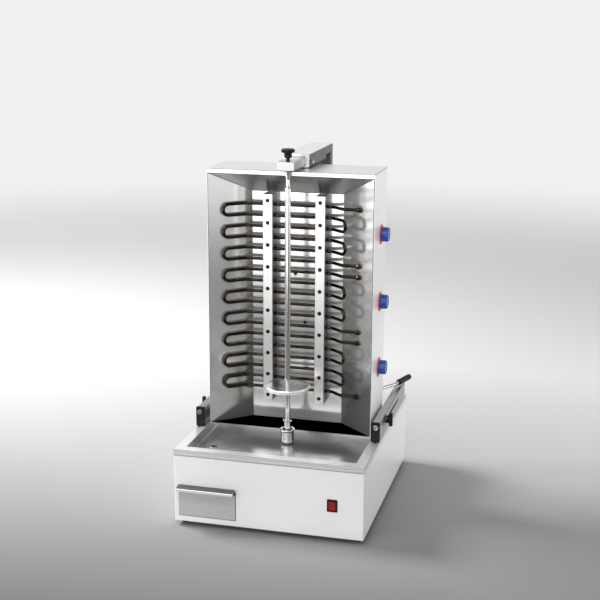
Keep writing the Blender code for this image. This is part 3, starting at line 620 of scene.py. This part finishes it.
def make_rim():
    """The folded top, whose lip ends in a flattened hem."""
    low, high = span("rim_frame")
    pan_low, pan_high = span("drip_pan")
    step = Vector((HEM_STEP, HEM_STEP, 0))
    skin = bent_box(low + step, high - step, CORNER)
    bend(skin, edges_at(skin, 2, high.z), 0.0013, 3)
    hem = bent_box(low, (high.x, high.y, low.z + HEM_HEIGHT), CORNER)
    bend(hem, edges_at(hem, 2, low.z + HEM_HEIGHT) + edges_at(hem, 2, low.z), FINE_EDGE * 0.9, 2)
    wall = Vector((SHEET, SHEET, 0))
    room = bent_box(low + wall - OVER_Z, high - wall - Vector((0, 0, SHEET)), CORNER - SHEET)
    flange = Vector((PAN_FLANGE + SHEET, PAN_FLANGE + SHEET, 0))
    mouth_low, mouth_high = pan_low + flange, pan_high - flange
    mouth = box_shape((mouth_low.x, mouth_low.y, -OVER), (mouth_high.x, mouth_high.y, OVER))
    bm = cut(fuse(skin, hem), room, mouth)
    lips = []
    for edge in edges_at(bm, 2, high.z):
        inside = [mouth_low.x - CLOSE < v.co.x < mouth_high.x + CLOSE
                  and mouth_low.y - CLOSE < v.co.y < mouth_high.y + CLOSE for v in edge.verts]
        if all(inside) and edge.calc_face_angle(0) > 1:
            lips.append(edge)
    bend(bm, lips, 0.0006, 2)
    rim = finished("rim", bm, "base", "rim_steel", "rim_frame")
    fold = ORIGIN.z + high.z - 0.002
    # Painted shade: the bend along the top edge takes a darker steel.
    refinish(rim, "painted_shade_grey_steel", lambda face: face.center.z > fold and 0.15 < face.normal.z < 0.97)


def make_rim_shadow_strip():
    """A black strip between the housing and the hem: painted shadow for the shadow gap under the hem."""
    low, high = span("base_housing")
    rim = span("rim_frame")[0].z
    bottom, top = rim - SHADOW_STRIP_HEIGHT, rim - SHADOW_STRIP_GAP
    proud = Vector((SHADOW_STRIP_PROUD, SHADOW_STRIP_PROUD, 0))
    outer_low, outer_high = low - proud, high + proud
    inner_low, inner_high = low + proud * 2, high - proud * 2
    shadow_band = bent_box((*outer_low.xy, bottom), (*outer_high.xy, top), CORNER)
    inside = bent_box((*inner_low.xy, bottom - OVER), (*inner_high.xy, top + OVER), CORNER - SHEET)
    finished("rim_shadow_strip", cut(shadow_band, inside), "base", "black_paint")


def make_pan():
    """The drawn pan under the rim, with a flange, rounded corners and two holes in its floor."""
    low, high = span("drip_pan")
    edge = PAN_FLANGE + SHEET
    inner_low = low + Vector((edge, edge, SHEET))
    inner_high = high - Vector((edge, edge, 0))
    bm = open_box(inner_low, inner_high, (PAN_CORNER, 5), (PAN_CORNER * 0.8, 5))
    brim = [e for e in bm.edges if e.is_boundary]
    verts = only_verts(bmesh.ops.extrude_edge_only(bm, edges=brim)["geom"])
    middle, half = (inner_low + inner_high) / 2, (inner_high - inner_low) / 2
    grow = ((half.x + edge) / half.x, (half.y + edge) / half.y, 1)
    bmesh.ops.scale(bm, vec=grow, verts=verts, space=Matrix.Translation(-middle))
    bmesh.ops.recalc_face_normals(bm, faces=bm.faces)
    floor = min(bm.faces, key=lambda f: f.calc_center_median().z)
    if floor.normal.z > 0:
        bmesh.ops.reverse_faces(bm, faces=bm.faces)
    bm = thickened(bm, SHEET)
    tools = []
    for node, radius in (("spit_socket", SHAFT_HOLE), ("drain_collar", DRAIN_HOLE)):
        middle = middle_of(node)
        tools.append(rod((middle.x, middle.y, low.z - OVER), 2 * OVER, radius, steps=40))
    finished("pan", cut(bm, *tools), "base", "pan_steel", "drip_pan")


def make_drain():
    low, high = span("drain_collar")
    middle = middle_of("drain_collar")
    bore, neck, brim, thick = 0.0058, 0.007, 0.009, 0.0015
    profile = ((bore, high.z), (brim, high.z), (brim, high.z - thick), (neck, high.z - thick),
               (neck, low.z), (bore, low.z))
    bm = turned(profile, (middle.x, middle.y, 0), steps=40, ring=True, edge=0.0003)
    finished("drain_ring", bm, "base", "chrome", "drain_collar")


def make_feet():
    """Turned rubber feet with a waist and a sunk fixing hole."""
    for _, side in SIDES:
        for row in ("front", "rear"):
            node = f"foot_{row}_{side}"
            low, high = span(node)
            radius = (high.x - low.x) / 2
            profile = ((0, high.z), (radius, high.z), (radius, high.z - 0.005),
                       (radius - 0.0007, high.z - 0.0056), (radius, high.z - 0.0064),
                       (radius, low.z + 0.004), (radius - 0.002, low.z),
                       (0.0052, low.z), (0.0044, low.z + 0.0045), (0, low.z + 0.0045))
            middle = (low + high) / 2
            bm = turned(profile, (middle.x, middle.y, 0), steps=40, edge=0.0003)
            finished(f"rubber_foot_{row}_{side}", bm, "base", "rubber", node)


def make_drawer_face():
    """A front bent from one sheet, whose top slopes forward into the lip of the pull."""
    low, high = span("drawer_front")
    back = high.y
    outline = ((back, low.z), (back, high.z), (low.y, high.z - PULL_DROP),
               (low.y, high.z - PULL_DROP - PULL_LIP))
    bm = folded(outline, 0, low.x, high.x, 0.0024, SHEET)
    face = finished("drawer_face", bm, "drawer", "drawer_steel", "drawer_front")
    lip = ORIGIN.y + low.y + 0.0006
    # Painted shade on the sloping top and a painted highlight on the front of the lip: darker and brighter
    # copies of the drawer's steel.
    refinish(face, "painted_shade_steel", lambda part: part.normal.z > 0.3)
    refinish(face, "painted_highlight_steel", lambda part: part.normal.y < -0.75 and part.center.y < lip)


def make_pull_shadow_ends():
    """Black webs that close the pull at its two ends: painted shade for the dark hollow under the pull."""
    low, high = span("drawer_front")
    top = high.z - SHEET - 0.0004
    back, front, front_top = high.y - 0.0016, low.y + 0.002, top - PULL_DROP
    outline = ((back, top), (front, front_top), (front, front_top - 0.005), (back, front_top - 0.009))
    for number, start in enumerate((low.x + 0.0002, high.x - 0.0002 - PULL_END)):
        end = prism(outline, 0, start, start + PULL_END)
        finished(f"pull_shadow_end_{number}", end, "drawer", "black_paint")


def make_drawer_tray():
    """The open tray behind the front."""
    tray = thickened(open_box(*span("drawer_box"), (0.0025, 4), (0.0022, 4)), TRAY_SHEET, False)
    finished("drawer_tray", tray, "drawer", "inner_steel", "drawer_box")


def make_switch():
    """A frame with a soft front edge, and a rocker with two sloping halves."""
    low, high = span("switch_bezel")
    plate = bent_box(low, (high.x, low.y + 0.002, high.z), 0.0022, 1)
    bend(plate, edges_at(plate, 1, low.y), 0.0007, 3)
    inset = Vector((BEZEL_WALL, 0, BEZEL_WALL))
    body = box_shape((low.x + inset.x, low.y + 0.001, low.z + inset.z), high - inset)
    middle = (low + high) / 2
    cavity = bent_box((middle.x - 0.0092, low.y - OVER, middle.z - 0.0123),
                      (middle.x + 0.0092, low.y + 0.013, middle.z + 0.0123), 0.001, 1)
    bm = cut(fuse(plate, body), cavity)
    finished("switch_frame", bm, "base", "black_plastic", "switch_bezel")
    pivot = Vector((middle.x, low.y + 0.002, middle.z))
    outline = ((-0.0044, 0.0108), (-0.0034, 0.006), (-0.0028, 0), (-0.0034, -0.006), (-0.0044, -0.0108),
               (0.003, -0.0104), (0.003, 0.0104))
    bm = prism(outline, 0, -0.0086, 0.0086)
    soften(bm, 0.0007, 3)
    bm.transform(Matrix.Translation(pivot) @ Matrix.Rotation(ROCKER_TILT, 4, "X"))
    finished("rocker", bm, "rocker", "red_rocker", "switch_rocker", smooth=30)


def make_gland():
    """A clamping nut over a domed inlet."""
    low, high = span("cable_gland")
    middle, length = (low + high) / 2, high.y - low.y
    wall = length - 0.0135
    profile = ((0.0042, length), (0.0078, length), (0.0095, length - 0.002), (0.0105, wall + 0.0065),
               (0.012, wall + 0.006), (0.012, wall + 0.0005), (0.008, wall + 0.0005), (0.008, 0),
               (0.0042, 0))
    bm = turned(profile, (middle.x, low.y, middle.z), "Y", 48, ring=True, edge=0.0004)
    finished("cable_inlet", bm, "base", "black_plastic", "cable_gland")


# ------------------------ spit

def make_spit():
    """A turned rod with a sunk centre, a collar at its foot and the cross pin that drives it."""
    low, high = span("spit_rod")
    centre = foot_of("spit_rod")
    profile = ((0, high.z - 0.0022), (0.003, high.z - 0.0022), (0.0042, high.z),
               (SPIT_RADIUS - 0.001, high.z), (SPIT_RADIUS, high.z - 0.001),
               (SPIT_RADIUS, COLLAR_TOP + 0.001), (COLLAR_RADIUS, COLLAR_TOP),
               (COLLAR_RADIUS, low.z + 0.0012), (COLLAR_RADIUS - 0.0012, low.z), (0, low.z))
    bm = turned(profile, centre, steps=40)
    add(bm, rod((-0.0108, centre[1], COLLAR_TOP + 0.002), 0.0216, 0.0019, "X", 20, edge=0.0004))
    finished("spit", bm, "spit", "turned_steel", "spit_rod")


def make_disc():
    """The plate that carries the meat: a shallow dish with a rolled edge and a hub below."""
    low, high = span("meat_disc")
    centre = foot_of("meat_disc")
    top, rim, bore = high.z, (high.x - low.x) / 2, SPIT_RADIUS + 0.0003
    profile = ((bore, top - 0.0012), (0.01, top - 0.0012), (rim - 0.0055, top - 0.0014),
               (rim - 0.003, top - 0.0002), (rim - 0.0012, top), (rim, top - 0.0012),
               (rim, top - 0.0078), (rim - 0.0012, top - 0.009), (rim - 0.003, top - 0.0088),
               (rim - 0.0042, top - 0.0052), (DISC_HUB, top - 0.0048), (DISC_HUB, low.z + 0.0006),
               (DISC_HUB - 0.0006, low.z), (bore, low.z))
    bm = turned(profile, centre, steps=96, ring=True)
    screw = hex_head((DISC_HUB - 0.0004, centre[1], low.z + 0.0046), 0.003, 0.0028, "X")
    disc = finished("carrier_disc", add(bm, screw), "spit", "disc_steel", "meat_disc")
    # Painted highlight: the rolled edge takes a brighter steel than the darker top.
    refinish(disc, "painted_highlight_steel", lambda face: abs(face.normal.z) < 0.9)


def make_socket():
    """A turned cup that takes the spit's foot, with a flared mouth, a neck and a groove."""
    low, high = span("spit_socket")
    centre = foot_of("spit_socket")
    outer, body, cup = (high.x - low.x) / 2, 0.0165, COLLAR_RADIUS + 0.0004
    seat, top = low.z, high.z
    shaft, shaft_top = 0.0054, seat + 0.0082
    profile = ((0, -0.012), (cup, -0.012), (cup, 0.004), (0.0134, top - 0.0004), (0.0142, top),
               (outer - 0.0008, top), (outer, top - 0.0008), (outer, top - 0.0024),
               (outer - 0.0008, top - 0.0034), (body, top - 0.006), (body, seat + 0.01),
               (body - 0.0009, seat + 0.0092), (body - 0.0009, seat + 0.008), (body, seat + 0.0072),
               (body, seat + 0.0045), (body - 0.002, seat + 0.0035), (body - 0.002, seat),
               (shaft, seat), (shaft, shaft_top), (0, shaft_top))
    bm = turned(profile, centre, steps=64)
    socket = finished("drive_socket", bm, "spit", "chrome", "spit_socket")
    foot = ORIGIN.z + seat + 0.0046
    neck, mouth = ORIGIN.z + top - 0.0061, ORIGIN.z + top - 0.0032
    # Painted reflection: dark bands of steel on the foot and between the neck and the mouth.
    refinish(socket, "painted_shade_steel", lambda face: face.center.z < foot or neck < face.center.z < mouth)


# ------------------------ rails and clamps

def make_rail(side):
    """A channel with its back upwards and a long slot with round ends through its walls."""
    low, high = span("rail_" + side)
    shell = box_shape(low, high)
    bend(shell, [e for e in edges_along(shell, 1) if e.verts[0].co.z > high.z - CLOSE], 0.0022, 4)
    room = box_shape(low + Vector((SHEET, -OVER, -OVER)), high + Vector((-SHEET, OVER, -SHEET)))
    bend(room, [e for e in edges_along(room, 1) if e.verts[0].co.z > SLOT_Z - OVER], 0.0009, 3)
    slot = bent_box((low.x - OVER, SLOT_FRONT, SLOT_Z - SLOT_HALF),
                    (high.x + OVER, SLOT_REAR, SLOT_Z + SLOT_HALF), SLOT_HALF * 0.999, 0, 8)
    bm = cut(shell, room, slot)
    rail = finished("slide_rail_" + side, bm, "base", "rail_steel", "rail_" + side)
    left, right, top = low.x + 0.0004, high.x - 0.0004, ORIGIN.z + high.z - 0.0004
    # Painted shade: the inside of the channel takes a darker steel.
    refinish(rail, "painted_shade_side_steel", lambda face: left < face.center.x < right and face.center.z < top)


def make_bracket(side):
    """A painted stop plate in front of the rail, with its bolt and a small fixing screw."""
    low, high = span("rail_bracket_" + side)
    plate = bent_box(low, high, 0.003, 1)
    soften(plate, 0.0005)
    finished("stop_plate_" + side, plate, "base", "black_paint", "rail_bracket_" + side)
    middle, seat = middle_of("bracket_bolt_" + side), span("bracket_bolt_" + side)[1].y
    bolt = hex_head((middle.x, seat, middle.z), 0.0062, 0.0055, "-Y")
    finished("stop_bolt_" + side, bolt, "base", "chrome", "bracket_bolt_" + side)
    small = rod((middle.x, low.y - 0.0052, low.z), 0.0016, 0.003, "Z", 24, edge=0.0005)
    finished("stop_screw_" + side, small, "base", "black_paint")


def make_clamp(sign, side):
    """A wing knob with a steel stud through the rail."""
    low, high = span("clamp_knob_" + side)
    inner, outer = (low.x, high.x) if sign > 0 else (high.x, low.x)
    axis = "X" if sign > 0 else "-X"
    seat = abs(outer - inner) - KNOB_DEPTH
    hub = turned(((0, 0.0115), (0.008, 0.0115), (0.0095, 0.0095), (0.0095, 0), (0, 0)),
                 (inner + sign * seat, CLAMP_Y, SLOT_Z), axis, 40, edge=0.0006)
    wing_low, wing_high = sorted((inner + sign * (seat + 0.007), outer))
    half = (high.z - low.z) / 2
    wing = box_shape((wing_low, CLAMP_Y - WING_HALF, SLOT_Z - half),
                     (wing_high, CLAMP_Y + WING_HALF, SLOT_Z + half))
    bend(wing, edges_along(wing, 0), 0.004, 5)
    soften(wing, 0.0012, 3, 60)
    finished("wing_knob_" + side, add(hub, wing), "clamp_" + side, "black_plastic",
             "clamp_knob_" + side)
    stud = rod((inner, CLAMP_Y, SLOT_Z), seat + 0.001, STUD_RADIUS, axis, 24)
    washer = rod((inner + sign * (seat - 0.0003), CLAMP_Y, SLOT_Z), 0.0008, 0.01, axis, 40)
    finished("clamp_stud_" + side, add(stud, washer), "clamp_" + side, "chrome")


def make_push_handle(sign, side):
    """A bright bent rod with a ribbed black grip."""
    points = [(sign * x, y, HANDLE_Z) for x, y in HANDLE_PATH]
    bm = bar_through(points, (HANDLE_BEND, HANDLE_BEND), HANDLE_RADIUS, 20)
    finished("handle_rod_" + side, bm, "heater", "chrome", "push_handle_" + side)
    turn, tip = Vector(points[2]), Vector(points[3])
    along = (tip - turn).normalized()
    length = (tip - turn).length - GRIP_START
    profile = []
    for angle in map(math.radians, (90, 75, 60, 45, 30, 15)):
        profile.append((max(GRIP_RADIUS * math.cos(angle), 0), GRIP_RADIUS * (math.sin(angle) - 1)))
    for number in range(GRIP_GROOVES):
        start = -0.014 - number * 0.0075
        groove = GRIP_RADIUS - 0.0005
        profile += [(GRIP_RADIUS, start), (groove, start - 0.0006), (groove, start - 0.0014),
                    (GRIP_RADIUS, start - 0.002)]
    profile += [(GRIP_RADIUS, 0.0012 - length), (GRIP_RADIUS - 0.0012, -length), (0, -length)]
    grip = turned(profile, steps=32)
    grip.transform(Matrix.Translation(tip) @ along.to_track_quat("Z", "X").to_matrix().to_4x4())
    finished("handle_grip_" + side, grip, "heater", "black_plastic", "push_handle_" + side)


# ------------------------ heater cabinet

def make_cabinet_wall():
    """The outer wall, bent from one sheet, and the floor plate inside it."""
    low, high = span("cabinet_shell")
    outline = ((low.x, low.y), (low.x, high.y), (high.x, high.y), (high.x, low.y))
    wall = folded(outline, 2, low.z, high.z, 0.0025, PANEL)
    wing_low, wing_high = span("wing_right")
    side, front, rear = high.x - PANEL, low.y + 0.0012, high.y - PANEL
    back, narrow, wide = span("back_panel")[1].y + 0.0003, wing_low.x + 0.0006, wing_high.x + 0.001
    floor_outline = ((side, front), (side, rear), (-side, rear), (-side, front),
                     (-wide, front), (-narrow, back), (narrow, back), (wide, front))
    floor = prism(floor_outline, 2, low.z + 0.0006, low.z + 0.0018)
    finished("cabinet_wall", add(wall, floor), "heater", "cabinet_steel", "cabinet_shell")


def make_lid():
    """A folded cap over the cabinet, whose bend takes a darker steel than its top as painted shade."""
    cap = open_box(*span("cabinet_cap"), (0.002, 4), (0.0014, 3), upside_down=True)
    lid = finished("cabinet_lid", thickened(cap, LID_SHEET, False), "heater", "lid_steel", "cabinet_cap")
    refinish(lid, "painted_shade_grey_steel", lambda face: 0.15 < face.normal.z < 0.97)


def make_back_screws():
    """Two small screws that hold the back panel between the channels."""
    face = span("back_panel")[0].y
    for number, (x, z) in enumerate(PANEL_SCREWS):
        bm = rod((x, face, z), 0.0022, 0.004, "-Y", 24, edge=0.0006)
        finished(f"panel_screw_{number}", bm, "heater", "black_paint")


def pass_heights():
    """The height of every straight pass of the three elements, from the lowest up."""
    low, high = span("heating_element_lower")[0].z, span("heating_element_upper")[1].z
    first, last = low + ELEMENT_RADIUS, high - ELEMENT_RADIUS
    count = PASSES * len(ZONES)
    return [first + (last - first) * number / (count - 1) for number in range(count)]


def make_channel(side):
    """A channel with round holes in its web, and a notch in its flanges for each pass."""
    low, high = span("element_channel_" + side)
    shell = box_shape(low, high)
    bend(shell, [e for e in edges_along(shell, 2) if e.verts[0].co.y < low.y + CLOSE], 0.0018, 4)
    room = box_shape((low.x + CHANNEL_WALL, low.y + CHANNEL_WALL, low.z - OVER),
                     (high.x - CHANNEL_WALL, high.y + OVER, high.z + OVER))
    bend(room, [e for e in edges_along(room, 2) if e.verts[0].co.y < low.y + 0.002], 0.0007, 3)
    heights = pass_heights()
    notches, holes = bmesh.new(), bmesh.new()
    for height in heights:
        notch_low = (low.x - OVER, ELEMENT_Y - NOTCH_HALF, height - NOTCH_HALF)
        notch_high = (high.x + OVER, high.y + 2 * OVER, height + NOTCH_HALF)
        add(notches, bent_box(notch_low, notch_high, NOTCH_HALF * 0.98, 0, 5))
    middle, pitch = (low.x + high.x) / 2, heights[1] - heights[0]
    for number in range(WEB_HOLES):
        place = (middle, low.y - OVER / 2, low.z + WEB_HOLE_START + 2 * pitch * number)
        add(holes, rod(place, OVER, WEB_HOLE_RADIUS, "Y", 32))
    bm = cut(shell, room, notches, holes)
    channel = finished("channel_" + side, bm, "heater", "channel_steel",
                       "element_channel_" + side)
    # Painted shade: the flanges and the inside take a darker steel than the web.
    refinish(channel, "painted_shade_side_steel", lambda face: face.normal.y > -0.3)


def make_channel_shadow_strip(side):
    """A black strip behind the web, seen through its holes: painted shade that makes the holes look dark.
    """
    low, high = span("element_channel_" + side)
    wall = CHANNEL_WALL
    strip = bent_box((low.x + wall + 0.0003, low.y + wall + 0.0004, low.z + 0.002),
                     (high.x - wall - 0.0003, low.y + wall + 0.0016, high.z - 0.002), 0.001, 1)
    finished("channel_shadow_strip_" + side, strip, "heater", "black_paint")


def make_element(zone, name):
    """One tube: six passes, three bends on the left, two on the right, and two ends."""
    heights = pass_heights()[zone * PASSES:(zone + 1) * PASSES]
    half = (heights[1] - heights[0]) / 2 * 0.999
    points = [(*TERMINAL_END, heights[0]), (*TERMINAL_TURN, heights[0]), (*RIGHT_KINK, heights[0])]
    radii = [TERMINAL_BEND, KINK_BEND]
    for number, (lower, upper) in enumerate(zip(heights, heights[1:])):
        kink, tip = (LEFT_KINK, LEFT_TIP) if number % 2 == 0 else (RIGHT_KINK, RIGHT_TIP)
        points += [(*kink, lower), (*tip, lower), (*tip, upper), (*kink, upper)]
        radii += [KINK_BEND, half, half, KINK_BEND]
    points += [(*RIGHT_KINK, heights[-1]), (*TERMINAL_TURN, heights[-1]), (*TERMINAL_END, heights[-1])]
    radii += [KINK_BEND, TERMINAL_BEND]
    bm = bar_through(points, radii, ELEMENT_RADIUS)
    finished("element_" + name, bm, "heater", "oxidised_sheath", "heating_element_" + name)
    for end, height in (("a", heights[0]), ("b", heights[-1])):
        nut = hex_head((TERMINAL_X, TERMINAL_END[1], height), 0.006, 0.0066, "-X")
        sleeve = rod((TERMINAL_X - 0.0055, TERMINAL_END[1], height), 0.0035, 0.0052, "-X", 24, edge=0.0006)
        finished(f"terminal_{name}_{end}", add(nut, sleeve), "heater", "oxidised_sheath")


def make_dial_flange(name):
    """A red ring on the side wall."""
    low, high = span("knob_flange_" + name)
    middle, radius, depth = (low + high) / 2, (high.z - low.z) / 2, high.x - low.x
    ring = ((0.004, depth * 0.8), (radius - 0.006, depth * 0.8), (radius - 0.005, depth),
            (radius - 0.0026, depth), (radius, depth * 0.45), (radius, 0), (0.004, 0))
    flange = turned(ring, (low.x, middle.y, middle.z), "X", 72, ring=True, edge=0.0003)
    finished("dial_flange_" + name, flange, "heater", "red_plastic", "knob_flange_" + name)


def make_dial(name):
    """A blue fluted knob with a white pointer."""
    low, high = span("heat_knob_" + name)
    middle, radius = middle_of("knob_flange_" + name), (high.z - low.z) / 2
    seat, top = DIAL_SEAT, high.x
    depth = top - seat
    profile = ((0, depth - 0.0008), (radius - 0.005, depth - 0.0008), (radius - 0.0042, depth),
               (radius - 0.002, depth), (radius - 0.0006, depth - 0.0018), (radius, 0.003),
               (radius, 0), (0, 0))
    knob = turned(profile, (seat, middle.y, middle.z), "X", 72)
    fluted(knob, 0, radius - 0.0004, 0.0006, (seat, middle.y, middle.z))
    stem = rod((low.x, middle.y, middle.z), seat - low.x, 0.003, "X", 24)
    body = "knob_" + name
    finished("dial_" + name, add(knob, stem), body, "blue_plastic", "heat_knob_" + name)
    mark = bent_box((top - 0.0009, middle.y - 0.0008, middle.z + 0.003),
                    (top - 0.0004, middle.y + 0.0008, middle.z + radius - 0.0058), 0.0006, 0, 3)
    finished("dial_mark_" + name, mark, body, "white_print")


# ------------------------ top arm

def make_post():
    low, high = span("rear_post")
    wall = 0.002
    shell = bent_box(low, high, 0.003)
    room = bent_box(low + Vector((wall, wall, -OVER)), high + Vector((-wall, -wall, OVER)), 0.0012)
    # Painted shade: the post is near-black steel, as if in shadow.
    finished("post", cut(shell, room), "base", "painted_shade_post_steel", "rear_post")


def make_elbow():
    low, high = span("arm_elbow")
    elbow = bent_box(low, high, 0.003, 1)
    bend(elbow, edges_at(elbow, 1, high.y), 0.003, 4)
    box = finished("elbow", elbow, "base", "painted_shade_post_steel", "arm_elbow")
    # Painted shade: only the top takes the arm's bright steel; the sides keep the near-black steel.
    refinish(box, "arm_steel", lambda face: face.normal.z > 0.7)


def dark_flanks(face):
    """The sides and the underside of the arm, which face away from the light."""
    return abs(face.normal.x) > 0.5 or face.normal.z < -0.5


def make_outer_arm():
    """A square tube with room for the bar."""
    low, high = span("arm_tube")
    bar_low, bar_high = span("arm_bar")
    play = Vector((0.0005, 0.5, 0.0005))
    shell = bent_box(low, high, 0.0035, 1, 5)
    room = bent_box(bar_low - play, bar_high + play, 0.0022, 1)
    tube = finished("outer_arm", cut(shell, room), "base", "arm_steel", "arm_tube")
    # Painted shade: the sides and the underside take a darker steel.
    refinish(tube, "painted_shade_steel", dark_flanks)


def make_bar():
    """The square bar that slides in the arm, with a hole for the pin."""
    low, high = span("arm_bar")
    pin = middle_of("threaded_pin")
    bar = bent_box(low, high, 0.003, 1, 5)
    bend(bar, edges_at(bar, 1, low.y), 0.001, 3)
    hole = rod((pin.x, pin.y, low.z - OVER), 5 * OVER, PIN_HOLE)
    slide = finished("sliding_bar", cut(bar, hole), "bar", "bar_steel", "arm_bar")
    # Painted shade: the sides and the underside take a grey steel.
    refinish(slide, "painted_shade_grey_steel", dark_flanks)


def make_lock_screw():
    low, high = span("arm_lock_screw")
    middle = (low + high) / 2
    seat = high.x - 0.007
    screw = hex_head((seat, middle.y, middle.z), 0.007, 0.006, "X")
    shank = rod((low.x, middle.y, middle.z), seat - low.x, 0.003, "X", 24)
    finished("bar_lock_screw", add(screw, shank), "lock", "chrome", "arm_lock_screw")


def make_top_pin():
    """The pin that holds the spit's top, threaded above and plain below."""
    low, high = span("threaded_pin")
    radius, pitch = (high.x - low.x) / 2, THREAD_PITCH
    profile = [(0, high.z), (radius - 0.0005, high.z)]
    turns = int((high.z - low.z - 0.018) / pitch)
    for number in range(turns):
        start = high.z - 0.0006 - number * pitch
        profile += [(radius, start - pitch * 0.35), (radius - 0.0006, start - pitch * 0.85)]
    profile += [(radius, low.z + 0.015), (radius, low.z + 0.001), (radius - 0.001, low.z), (0, low.z)]
    pin = turned(profile, foot_of("threaded_pin"), steps=32)
    finished("top_pin", pin, "pin", "turned_steel", "threaded_pin")


def make_spit_knob():
    """The fluted knob that screws the pin up and down."""
    low, high = span("top_knob")
    centre = foot_of("threaded_pin")
    top, seat, head = high.z, low.z, (high.x - low.x) / 2
    profile = ((0, top - 0.0006), (head - 0.004, top - 0.0006), (head - 0.003, top), (head - 0.0014, top),
               (head, top - 0.0014), (head, top - 0.0072), (head - 0.0014, top - 0.0084),
               (0.0095, top - 0.0096), (0.0095, seat + 0.0085), (0.0082, seat + 0.0072),
               (0.0045, seat + 0.007), (0.0045, seat), (0, seat))
    knob = turned(profile, centre, steps=48)
    fluted(knob, 2, head - 0.0005, 0.0008, centre)
    finished("spit_knob", knob, "top", "black_plastic", "top_knob")


def dress_frame_nodes():
    """The CAD nodes that are already right get their finish."""
    looks = {
        "inner_steel": ("base_bottom_plate", "drawer_runner_left", "drawer_runner_right"),
        "black_paint": ("bearing_flange",),
        "motor_paint": ("gearbox", "motor_body"),
        "chrome": ("output_shaft",),
        "wing_steel": ("wing_left", "wing_right"),
        "ceiling_steel": ("ceiling_panel",),
        "back_steel": ("back_panel",),
        "black_plastic": ("regulator_lower", "regulator_middle", "regulator_upper"),
    }
    for look, nodes in looks.items():
        for node in nodes:
            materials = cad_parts[node].data.materials
            materials.clear()
            materials.append(FINISHES[look])


# ------------------------ studio

def make_floor():
    """A wide pale floor that fades into the backdrop far from the object, with painted shade that darkens
    it towards the front.
    """
    bm = bmesh.new()
    bmesh.ops.create_circle(bm, cap_ends=True, segments=96, radius=FLOOR_RADIUS)
    mesh = bpy.data.meshes.new("floor")
    bm.to_mesh(mesh)
    bm.free()
    tree, shader = start_finish("floor_paper", shine=0.2)
    shader.inputs["Roughness"].default_value = 0.9
    # Painted shade: darker towards the front, lighter behind.
    depth = ranged(tree, coordinate(tree, "Object", "Y"), 0, 1, *FLOOR_DEPTH)
    tree.links.new(tinted(tree, depth, FLOOR_NEAR_SHADE, FLOOR_FAR, 0, 1), shader.inputs["Base Color"])
    place = tree.nodes.new("ShaderNodeTexCoord")
    distance = tree.nodes.new("ShaderNodeVectorMath")
    distance.operation = "LENGTH"
    tree.links.new(place.outputs["Object"], distance.inputs[0])
    solid = ranged(tree, distance.outputs["Value"], 1, 0, *FLOOR_FADE)
    solid.node.interpolation_type = "SMOOTHERSTEP"
    tree.links.new(solid, shader.inputs["Alpha"])
    mesh.materials.append(FINISHES["floor_paper"])
    new_object("floor", mesh)


def make_light(name, place, target, size, power):
    light = bpy.data.lights.new(name, "AREA")
    light.shape, light.size, light.size_y, light.energy = "RECTANGLE", size[0], size[1], power
    obj = new_object(name, light)
    obj.location = place
    obj.rotation_euler = (Vector(target) - Vector(place)).to_track_quat("-Z", "Y").to_euler()
    obj.visible_camera = False


def make_studio():
    """A backdrop that is bright at the horizon and darker overhead, and four soft lights."""
    make_floor()
    world = bpy.data.worlds.new("studio")
    bpy.context.scene.world = world
    world.use_nodes = True
    tree = world.node_tree
    background = tree.nodes["Background"]
    rise = ranged(tree, coordinate(tree, "Generated", "Z"), 0, 1, *CEILING_RISE)
    tree.links.new(tinted(tree, rise, BACKDROP, CEILING, 0, 1), background.inputs["Color"])
    background.inputs["Strength"].default_value = 1.0
    make_light("key", (-2.6, 0.3, 2.8), (0, 0, 0.2), (1.3, 1.3), 190)
    make_light("low_front", (-0.6, -2.4, 0.5), (0, 0, 0.1), (2.8, 1.6), 23)
    make_light("high_strip", (-0.4, -2.0, 2.7), (0, 0, 0.5), (2.4, 0.25), 34)
    make_light("right_fill", (2.2, 0.7, 0.4), (0.2, 0, 0.2), (1.2, 0.8), 10)
    bpy.context.scene.view_settings.view_transform = "Standard"


def make_camera():
    data = bpy.data.cameras.new("camera")
    data.lens, data.sensor_width, data.clip_end = LENS, SENSOR, 200
    camera = new_object("camera", data)
    facing = Matrix((CAMERA_RIGHT, CAMERA_UP, CAMERA_RIGHT.cross(CAMERA_UP))).transposed()
    camera.matrix_world = Matrix.Translation(CAMERA_PLACE) @ facing.to_4x4()
    bpy.context.scene.camera = camera


def build():
    make_finishes()
    make_camera()
    make_housing()
    make_rim()
    make_rim_shadow_strip()
    make_pan()
    make_drain()
    make_feet()
    make_drawer_face()
    make_pull_shadow_ends()
    make_drawer_tray()
    make_switch()
    make_gland()
    make_spit()
    make_disc()
    make_socket()
    for sign, side in SIDES:
        make_rail(side)
        make_bracket(side)
        make_clamp(sign, side)
        make_push_handle(sign, side)
        make_channel(side)
        make_channel_shadow_strip(side)
    make_cabinet_wall()
    make_lid()
    make_back_screws()
    for zone, name in enumerate(ZONES):
        make_element(zone, name)
        make_dial_flange(name)
        make_dial(name)
    make_post()
    make_elbow()
    make_outer_arm()
    make_bar()
    make_lock_screw()
    make_top_pin()
    make_spit_knob()
    dress_frame_nodes()
    make_studio()


build()
